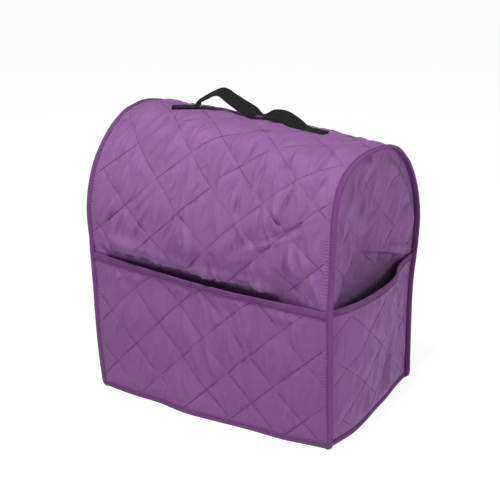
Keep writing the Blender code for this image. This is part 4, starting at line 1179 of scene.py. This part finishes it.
def hem_binding_long(name, rear):
    across = np.linspace(-OUTER_END, OUTER_END, LONG_RINGS)
    rings = []
    for x in across:
        depth, offset = tape_section(HEM_DEEP + DEPTH_WAVE * tape_wave(x, 3), hem_outer(rear), -EDGE - GAP).T
        end = np.where(offset > -EDGE, OUTER_END, INNER_END)
        rings.append(wrap(np.clip(x, -end, end), LENGTH - depth if rear else depth, offset))
    return sweep_tape(name, rings, across)


def front_pocket_binding(name):
    across = np.linspace(-OUTER_END, OUTER_END, LONG_RINGS)
    rings = []
    for x in across:
        depth, offset = tape_section(POCKET_TAPE_DEEP + DEPTH_WAVE * tape_wave(x, 1), EDGE + GAP, -GAP).T
        s = POCKET_TOP + TAPE + GAP - depth
        base = front_pocket_base(np.full_like(s, x), np.minimum(s, POCKET_TOP))
        rings.append(wrap(x, on_panel(x, s), base + offset))
    return sweep_tape(name, rings, across)


def side_tape(name, side, section, level, place_x):
    """Tape across a side at one level, growing up from a hem or down from a pocket's top."""
    depth, offset = section.T
    z = level + depth if level == 0.0 else level - depth
    start, end = (np.interp(z, *TAPE_ENDS[side][where]) for where in ("front", "back"))
    part_way = np.linspace(0, 1, SIDE_RINGS)
    rings = []
    for f in part_way:
        y = start + (end - start) * f
        x = place_x(y, np.minimum(z, POCKET_TOP), offset)
        rings.append(np.stack([side * x, y, z], axis=-1))
    return sweep_tape(name, rings, part_way * SIDE_SPAN)


def right_hem_x(y, z, offset):
    outside = side_pocket_face(y, z) + offset - LAYER
    return np.where(offset > 0, outside, side_x(1, y, z) + offset)


def left_hem_x(y, z, offset):
    return side_x(-1, y, z) + offset


def pocket_top_x(y, z, offset):
    return side_pocket_face(y, z) + offset


hem_front = hem_binding_long("cover_hem_front", False)
hem_back = hem_binding_long("cover_hem_back", True)
pocket_tape = front_pocket_binding("cover_front_pocket_binding")
hem_right = side_tape("cover_hem_right", 1, tape_section(HEM_DEEP, GAP + LAYER, -EDGE - GAP), 0.0,
                      right_hem_x)
hem_left = side_tape("cover_hem_left", -1, tape_section(HEM_DEEP, GAP, -EDGE - GAP), 0.0, left_hem_x)
side_tape_top = side_tape("cover_side_pocket_binding", 1, tape_section(POCKET_TAPE_DEEP, GAP, -EDGE - GAP),
                          POCKET_TOP + TAPE + GAP, pocket_top_x)
print("hem binding faces:", len(hem_front.data.polygons))

# %% [markdown]
# ## The carry strap
# One length of 20 mm webbing is sewn flat at both ends and stands up in two humps between them, with
# a twist where it dips to the crown. Its course is a short table: place, height over the crown and
# turn about its own length. Where the quilting would touch it, the strap is lifted a little.

# %% Carry strap
STRAP_COURSE = (
    # place, x, y, height over the crown, turn in degrees
    ("left end",     -0.1230, -0.0260, 0.0000, 0),
    ("left tab",     -0.1090, -0.0180, 0.0000, 0),
    ("left stitch",  -0.0960, -0.0080, 0.0002, 0),
    ("left rise",    -0.0900, -0.0030, 0.0095, 8),
    ("left shoulder", -0.0790, 0.0000, 0.0175, 18),
    ("first peak",   -0.0590, 0.0000, 0.0262, 25),
    ("first fall",   -0.0400, -0.0010, 0.0190, 35),
    ("low fall",     -0.0220, -0.0020, 0.0120, 42),
    ("dip",          -0.0070, -0.0020, 0.0078, 30),
    ("twist",        0.0040, -0.0010, 0.0058, -8),
    ("second peak",  0.0200, 0.0000, 0.0085, 25),
    ("second fall",  0.0380, 0.0000, 0.0078, 42),
    ("low end",      0.0560, 0.0000, 0.0046, 26),
    ("right stitch", 0.0740, 0.0000, 0.0002, 0),
    ("right tab",    0.0880, 0.0000, 0.0000, 0),
    ("right end",    0.1020, 0.0000, 0.0000, 0),
)
# Section in shares of its width and thickness, with the ribs of a woven band
STRAP_SECTION = ((-0.5, 0.0), (-0.485, -0.38), (-0.40, -0.5), (-0.20, -0.42), (0.0, -0.5), (0.20, -0.42),
                 (0.40, -0.5), (0.485, -0.38), (0.5, 0.0), (0.485, 0.38), (0.40, 0.5), (0.20, 0.42),
                 (0.0, 0.5), (-0.20, 0.42), (-0.40, 0.5), (-0.485, 0.38))
LEFT_EDGE, UNDERSIDE, RIGHT_EDGE, UPPERSIDE = 0, 4, 8, 12
STRAP_RINGS = 160
STRAP_SHARP = 70
STRAP_CLEAR = 0.0005
STRAP_OVER = 0.0006      # between the crown's smooth course and the strap's underside
CREASE_ROOM = 0.0008     # left for the panel's creases under the strap
LIFT_SPAN = 5 * STRAP_RINGS / 44
CROWN_S = np.linspace(0.38, 0.64, 200)


def unit(vector):
    return vector / np.linalg.norm(vector)


def panel_top(x, s):
    """Points of the quilted panel near the strap."""
    rise = folds(PANEL_FOLDS, x, s) + PILLOW * PANEL_QUILT.puff(x, s) + CREASE_ROOM
    return wrap(x, s, rise * (1 - tab_press(x, s)))


def crown_height(x, y, quilted):
    """Height of the top at one place, with or without its quilting."""
    line_x = np.full_like(CROWN_S, x)
    line = panel_top(line_x, CROWN_S) if quilted else wrap(line_x, CROWN_S, 0.0)
    return float(np.interp(y, line[:, 1], line[:, 2]))


def strap_frames():
    """Lengths, points, directions and turns along the strap."""
    rows = np.array([row[1:] for row in STRAP_COURSE], float)
    lift = STRAP_THICK / 2 + STRAP_OVER
    middle = np.array([(x, y, crown_height(x, y, False) + rise + lift) for x, y, rise, turn in rows])
    knots = np.concatenate([[0.0], np.cumsum(np.linalg.norm(np.diff(middle, axis=0), axis=1))])
    where = np.linspace(0, knots[-1], STRAP_RINGS)
    course = curve_through(knots, middle, where)
    turns = np.radians(curve_through(knots, rows[:, 3:4], where)[:, 0])
    along = np.gradient(course, where, axis=0)
    along /= np.linalg.norm(along, axis=1, keepdims=True)
    return where, course, along, turns


def carry_strap(name):
    where, course, along, turns = strap_frames()
    rings, short = [], []
    for centre, forward, turn in zip(course, along, turns):
        level = unit(np.cross([0.0, 0.0, 1.0], forward))
        across = math.cos(turn) * level + math.sin(turn) * np.cross(forward, level)
        face = np.cross(forward, across)
        ring = np.array([centre + across * w * STRAP_WIDTH + face * t * STRAP_THICK
                         for w, t in STRAP_SECTION])
        low = ring[[LEFT_EDGE, UNDERSIDE, RIGHT_EDGE]]
        short.append(max(crown_height(x, y, True) + STRAP_CLEAR - z for x, y, z in low))
        rings.append(ring)
    reach = np.arange(STRAP_RINGS)
    short = np.maximum(short, 0.0)
    for index, ring in enumerate(rings):
        ring[:, 2] += (short * (1 - smooth(np.abs(reach - index) / LIFT_SPAN))).max()
    around = [w * STRAP_WIDTH for w, t in STRAP_SECTION]
    fan = np.array([(0, k, k + 1) for k in range(1, len(STRAP_SECTION) - 1)])
    return sweep(name, rings, where, around, fan, strap_cloth, STRAP_SHARP), rings, where


strap, strap_rings, strap_where = carry_strap("cover_carry_strap")
print("strap length, mm:", round(strap_where[-1] * 1000))

# %% [markdown]
# ## Stitches
# A row of stitches is one small rounded bar repeated along a line. Geometry Nodes do this well: a
# guide line is resampled at the stitch pitch, a bar is set on each point along the line, and the
# result is realized into plain mesh. The guide lines are drawn just above the finished cloth.

# %% Stitch rows by Geometry Nodes
STITCH_PITCH, STITCH_LENGTH, THREAD_RADIUS = 0.0034, 0.0026, 0.00022
STITCH_SIDES = 5
STITCH_FACES = 3 * STITCH_SIDES
THREAD_OUT = 0.00018     # a stitch's middle stands this far off the cloth
LINE_STEPS = 24          # guide points along one side of a diamond
FEWEST_POINTS = 4
FIELD_X = FLAT_X - 0.0005
FIELD_STEP = 0.01
FIELD_LOW = POCKET_TOP + 0.012
FIELD_MARGIN = 0.0015


def stitch_tree():
    """Turns the edges of a guide into bars of thread."""
    tree = bpy.data.node_groups.new("stitch_rows", "GeometryNodeTree")
    face, nodes = tree.interface, tree.nodes
    face.new_socket("Guide", in_out="INPUT", socket_type="NodeSocketGeometry")
    for title, value in (("Pitch", STITCH_PITCH), ("Stitch Length", STITCH_LENGTH),
                         ("Thread Radius", THREAD_RADIUS)):
        socket = face.new_socket(title, in_out="INPUT", socket_type="NodeSocketFloat")
        socket.default_value = value
    face.new_socket("Thread", in_out="INPUT", socket_type="NodeSocketMaterial")
    face.new_socket("Stitches", in_out="OUTPUT", socket_type="NodeSocketGeometry")
    start, end = nodes.new("NodeGroupInput"), nodes.new("NodeGroupOutput")
    to_curve = nodes.new("GeometryNodeMeshToCurve")
    resample = nodes.new("GeometryNodeResampleCurve")
    resample.mode = "LENGTH"
    tangent = nodes.new("GeometryNodeInputTangent")
    align = nodes.new("FunctionNodeAlignRotationToVector")
    align.axis = "Z"
    bar = nodes.new("GeometryNodeMeshCylinder")
    bar.fill_type = "TRIANGLE_FAN"
    bar.inputs["Vertices"].default_value = STITCH_SIDES
    set_on = nodes.new("GeometryNodeInstanceOnPoints")
    realize = nodes.new("GeometryNodeRealizeInstances")
    paint_it = nodes.new("GeometryNodeSetMaterial")
    for source, output, target, entry in (
            (start, "Guide", to_curve, 0),
            (to_curve, 0, resample, "Curve"),
            (start, "Pitch", resample, "Length"),
            (resample, 0, set_on, "Points"),
            (tangent, 0, align, "Vector"),
            (align, 0, set_on, "Rotation"),
            (start, "Stitch Length", bar, "Depth"),
            (start, "Thread Radius", bar, "Radius"),
            (bar, 0, set_on, "Instance"),
            (set_on, 0, realize, 0),
            (realize, 0, paint_it, "Geometry"),
            (start, "Thread", paint_it, "Material"),
            (paint_it, 0, end, 0)):
        tree.links.new(source.outputs[output], target.inputs[entry])
    return tree


STITCHES = stitch_tree()


def stitch_rows(name, lines, thread_paint, pitch=STITCH_PITCH, length=STITCH_LENGTH):
    """Stitches along polylines that already stand in their places."""
    points = np.concatenate(lines) - CENTRE
    edges, first = [], 0
    for line in lines:
        edges += [(first + k, first + k + 1) for k in range(len(line) - 1)]
        first += len(line)
    mesh = bpy.data.meshes.new(name + "_guide")
    mesh.from_pydata(points.tolist(), edges, [])
    guide = add_object(name + "_guide", mesh)
    rows = guide.modifiers.new("rows", "NODES")
    rows.node_group = STITCHES
    given = {"Pitch": pitch, "Stitch Length": length, "Thread Radius": THREAD_RADIUS, "Thread": thread_paint}
    for item in STITCHES.interface.items_tree:
        if item.in_out == "INPUT" and item.name in given:
            rows[item.identifier] = given[item.name]
    graph = bpy.context.evaluated_depsgraph_get()
    made = bpy.data.meshes.new_from_object(guide.evaluated_get(graph))
    bpy.data.objects.remove(guide, do_unlink=True)
    made.name = name
    return add_object(name, made)


def lattice_lines(quilt, loop, place, margin):
    """Guide lines along the stitch lines of one quilted face."""
    lines = []
    fine = np.arange(-CELLS * LINE_STEPS, CELLS * LINE_STEPS + 1) / LINE_STEPS
    for number in range(-CELLS, CELLS + 1):
        fixed = np.full_like(fine, number)
        for p, q in ((fixed, fine), (fine, fixed)):
            u, v = quilt.spot(p, q)
            keep = inside_loop(u, v, loop)
            u, v = u[keep], v[keep]
            keep = loop_gap(u, v, loop) > margin
            if keep.sum() >= FEWEST_POINTS:
                lines.append(place(u[keep], v[keep]))
    return lines


def panel_line(x, s):
    return wrap(x, s, folds(PANEL_FOLDS, x, s) * pressed(np.abs(x), FLAT_X) + THREAD_OUT)


panel_field = outline_rectangle(FIELD_X, FIELD_LOW, LENGTH - FLAT_HEM, FIELD_STEP)
low_end = panel_field[:, 1] < FIELD_LOW + FIELD_STEP / 2
panel_field[low_end, 1] += top_rise(panel_field[low_end, 0])
panel_stitches = stitch_rows(
    "thread_main_panel", lattice_lines(PANEL_QUILT, panel_field, panel_line, FIELD_MARGIN), cover_thread)
print("long panel stitches:", len(panel_stitches.data.polygons) // STITCH_FACES)

# %% Stitches on the pockets and side panels
SIDE_FIELD_LOW = POCKET_TOP + 0.004
SIDE_FIELD_MARGIN, SIDE_POCKET_FIELD_MARGIN = 0.010, 0.008
FIELD_TOP = POCKET_TOP - POCKET_BINDING_DEEP


def pocket_line(x, s):
    edge = pocket_edge(x, s)
    rise = np.maximum(folds(FRONT_POCKET_FOLDS, x, s), -DEEPEST_TROUGH) * edge
    return wrap(x, on_panel(x, s), front_pocket_base(x, s) + EDGE + LOFT * edge + rise + THREAD_OUT)


def side_field(side, low):
    """The part of a side panel that shows its stitch lines."""
    rows = INNER_LOOPS[side]
    return rows[rows[:, 1] > low]


def side_lines(side):
    def stand(y, z):
        return np.stack([side * (side_x(side, y, z) + THREAD_OUT), y, z], axis=-1)
    return stand


def side_pocket_line(y, z):
    return np.stack([side_pocket_face(y, z) + THREAD_OUT, y, z], axis=-1)


pocket_field = outline_rectangle(FIELD_X, FLAT_HEM, FIELD_TOP, FIELD_STEP)
pocket_stitches = stitch_rows("thread_front_pocket", lattice_lines(
    POCKET_QUILT, pocket_field, pocket_line, FIELD_MARGIN), cover_thread)
side_stitches_right = stitch_rows("thread_side_right", lattice_lines(
    SIDE_QUILT, side_field(1, SIDE_FIELD_LOW), side_lines(1), SIDE_FIELD_MARGIN), cover_thread)
side_stitches_left = stitch_rows("thread_side_left", lattice_lines(
    SIDE_QUILT, side_field(-1, FLAT_HEM), side_lines(-1), SIDE_FIELD_MARGIN), cover_thread)
front, rear = side_edges(np.linspace(FLAT_HEM, FIELD_TOP, 20))
side_pocket_stitches = stitch_rows("thread_side_pocket", lattice_lines(
    SIDE_POCKET_QUILT, np.concatenate([rear, front[::-1]]), side_pocket_line,
    SIDE_POCKET_FIELD_MARGIN), cover_thread)
print("side stitches:", len(side_stitches_right.data.polygons) // STITCH_FACES)

# %% Tape stitch rows
ROW_IN = 0.0022          # a row runs this far in from the tape's free edge
ROW_POINTS = 120
TAPE_PITCH, TAPE_STITCH = 0.0031, 0.0024
SEAM_S = np.linspace(0.012, LENGTH - 0.012, 400)
SEAM_ROW_X = SEAM_OUT - BINDING_DEEP + ROW_IN
ROW_X = np.linspace(GAP - OUTER_END, OUTER_END - GAP, ROW_POINTS)


def seam_row(side):
    lift = over_pocket(side, SEAM_S) + TAPE + seam_lift(side, SEAM_S)
    return wrap(side * SEAM_ROW_X, SEAM_S, lift + THREAD_OUT)


def seam_row_inside(side):
    return wrap(side * SEAM_ROW_X, SEAM_S, -EDGE - LAYER - GAP - TAPE - THREAD_OUT)


def hem_row(rear, up):
    return wrap(ROW_X, LENGTH - up if rear else up, hem_outer(rear) + TAPE + THREAD_OUT)


def pocket_row(s):
    base = front_pocket_base(ROW_X, np.full_like(ROW_X, s))
    return wrap(ROW_X, on_panel(ROW_X, s), base + EDGE + GAP + TAPE + THREAD_OUT)


def side_row(side, z, place_x, offset):
    y = np.linspace(np.interp(z, *TAPE_ENDS[side]["front"]) + 0.001,
                    np.interp(z, *TAPE_ENDS[side]["back"]) - 0.001, ROW_POINTS)
    level = np.full_like(y, z)
    x = place_x(y, level, np.full_like(y, offset))
    return np.stack([side * (x + THREAD_OUT), y, level], axis=-1)


hem_level, pocket_level = HEM_DEEP - ROW_IN, POCKET_TOP - POCKET_BINDING_DEEP + ROW_IN
tape_rows = [seam_row(side) for side in (1, -1)]
tape_rows += [seam_row_inside(side) for side in (1, -1)]
tape_rows += [hem_row(rear, hem_level) for rear in (False, True)]
tape_rows.append(pocket_row(pocket_level))
tape_rows.append(side_row(1, hem_level, right_hem_x, GAP + LAYER + TAPE))
tape_rows.append(side_row(-1, hem_level, left_hem_x, GAP + TAPE))
tape_rows.append(side_row(1, pocket_level, pocket_top_x, GAP + TAPE))
tape_stitches = stitch_rows("thread_tape", tape_rows, cover_thread, pitch=TAPE_PITCH, length=TAPE_STITCH)
print("tape stitches:", len(tape_stitches.data.polygons) // STITCH_FACES)

# %% [markdown]
# Each end of the strap is held by a sewn box. Its rows run round the box and once across it, just
# over the webbing's upper face.

# %% Strap stitches
STRAP_BOXES = ((0.004, 0.028), (strap_where[-1] - 0.026, strap_where[-1] - 0.004))
BOX_HALF = 0.38          # share of the strap's width
BOX_STEPS = 24
STRAP_THREAD_OUT = 0.0001


def strap_point(where, across):
    """A point over the strap's upper face."""
    ring = strap_rings[np.clip(np.searchsorted(strap_where, where), 1, STRAP_RINGS - 1)]
    face, level = unit(ring[UPPERSIDE] - ring[UNDERSIDE]), unit(ring[RIGHT_EDGE] - ring[LEFT_EDGE])
    return ring[UPPERSIDE] + level * across * STRAP_WIDTH + face * STRAP_THREAD_OUT


def strap_box(start, end):
    corners = [(start, -BOX_HALF), (end, -BOX_HALF), (end, BOX_HALF), (start, BOX_HALF), (start, -BOX_HALF),
               (end, BOX_HALF)]
    line = []
    for (w0, a0), (w1, a1) in zip(corners, corners[1:]):
        for f in np.linspace(0, 1, BOX_STEPS)[:-1]:
            line.append(strap_point(w0 + (w1 - w0) * f, a0 + (a1 - a0) * f))
    return np.array(line)


strap_stitches = stitch_rows("thread_strap", [strap_box(*box) for box in STRAP_BOXES], strap_thread)
print("strap stitches:", len(strap_stitches.data.polygons) // STITCH_FACES)

# %% [markdown]
# ## Attaching the pieces
# Every piece rides on the root, and every sheet takes the place of one solid, which is hidden. The table
# lists the flat size it was cut at, how it is held and what goes with it, and a second table lists what
# each kind rests on; stitches ride on the root with the sheet they are sewn to.

# %% Attach every piece and hide its solid
SEAM_WIDE = 2 * BINDING_DEEP + 0.004
HEM_WIDE, PLAIN_HEM_WIDE = 2 * HEM_DEEP + 0.004, 2 * HEM_DEEP + 0.003
POCKET_TAPE_WIDE = 2 * POCKET_BINDING_DEEP + 0.004
sheets = (
    # piece, node, slot, flat width, flat length, area, held, what goes with it
    (main_panel, "main_panel", "quilted_cloth", 2 * CLOTH_EDGE, LENGTH, None, "draped", [panel_stitches]),
    (front_pocket, "front_pocket", "quilted_cloth", 2 * CLOTH_EDGE, POCKET_TOP + TOP_RISE, 0.0745, "hung",
     [pocket_stitches]),
    (side_right, "side_panel_right", "quilted_cloth", 0.300, 0.400, 0.107, "hung", [side_stitches_right]),
    (side_left, "side_panel_left", "quilted_cloth", 0.300, 0.400, 0.110, "hung", [side_stitches_left]),
    (side_pocket, "side_pocket", "quilted_cloth", 0.275, POCKET_TOP, None, "hung", [side_pocket_stitches]),
    (binding_right, "seam_binding_right", "twill_tape", SEAM_WIDE, LENGTH, None, "folded", [tape_stitches]),
    (binding_left, "seam_binding_left", "twill_tape", SEAM_WIDE, LENGTH, None, "folded", []),
    (hem_front, "hem_binding_front", "twill_tape", HEM_WIDE, 0.348, None, "folded", []),
    (hem_back, "hem_binding_back", "twill_tape", PLAIN_HEM_WIDE, 0.348, None, "folded", []),
    (hem_right, "hem_binding_right", "twill_tape", HEM_WIDE, 0.260, None, "folded", []),
    (hem_left, "hem_binding_left", "twill_tape", PLAIN_HEM_WIDE, 0.252, None, "folded", []),
    (pocket_tape, "front_pocket_binding", "twill_tape", POCKET_TAPE_WIDE, 0.350, None, "folded", []),
    (side_tape_top, "side_pocket_binding", "twill_tape", POCKET_TAPE_WIDE, 0.275, None, "folded", []),
    (strap, "carry_strap", "black_webbing", STRAP_WIDTH, 0.252, None, "laid", [strap_stitches]),
)
rests = {"draped": ["side_panel_right", "side_panel_left"], "hung": ["main_panel"],
         "folded": ["main_panel"], "laid": ["main_panel"]}
for piece, node, material_slot, width, length, area, held, with_pieces in sheets:
    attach(piece, "root")
    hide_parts(node)
    for thread_piece in with_pieces:
        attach(thread_piece, "root")
for piece, node, material_slot, width, length, area, held, with_pieces in sheets:
    rest_names = [name for name in rests[held] if name != node]
    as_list(with_pieces)
faces = {piece.name: len(piece.data.polygons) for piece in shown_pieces() if piece.type == "MESH"}
print("faces in all:", sum(faces.values()))
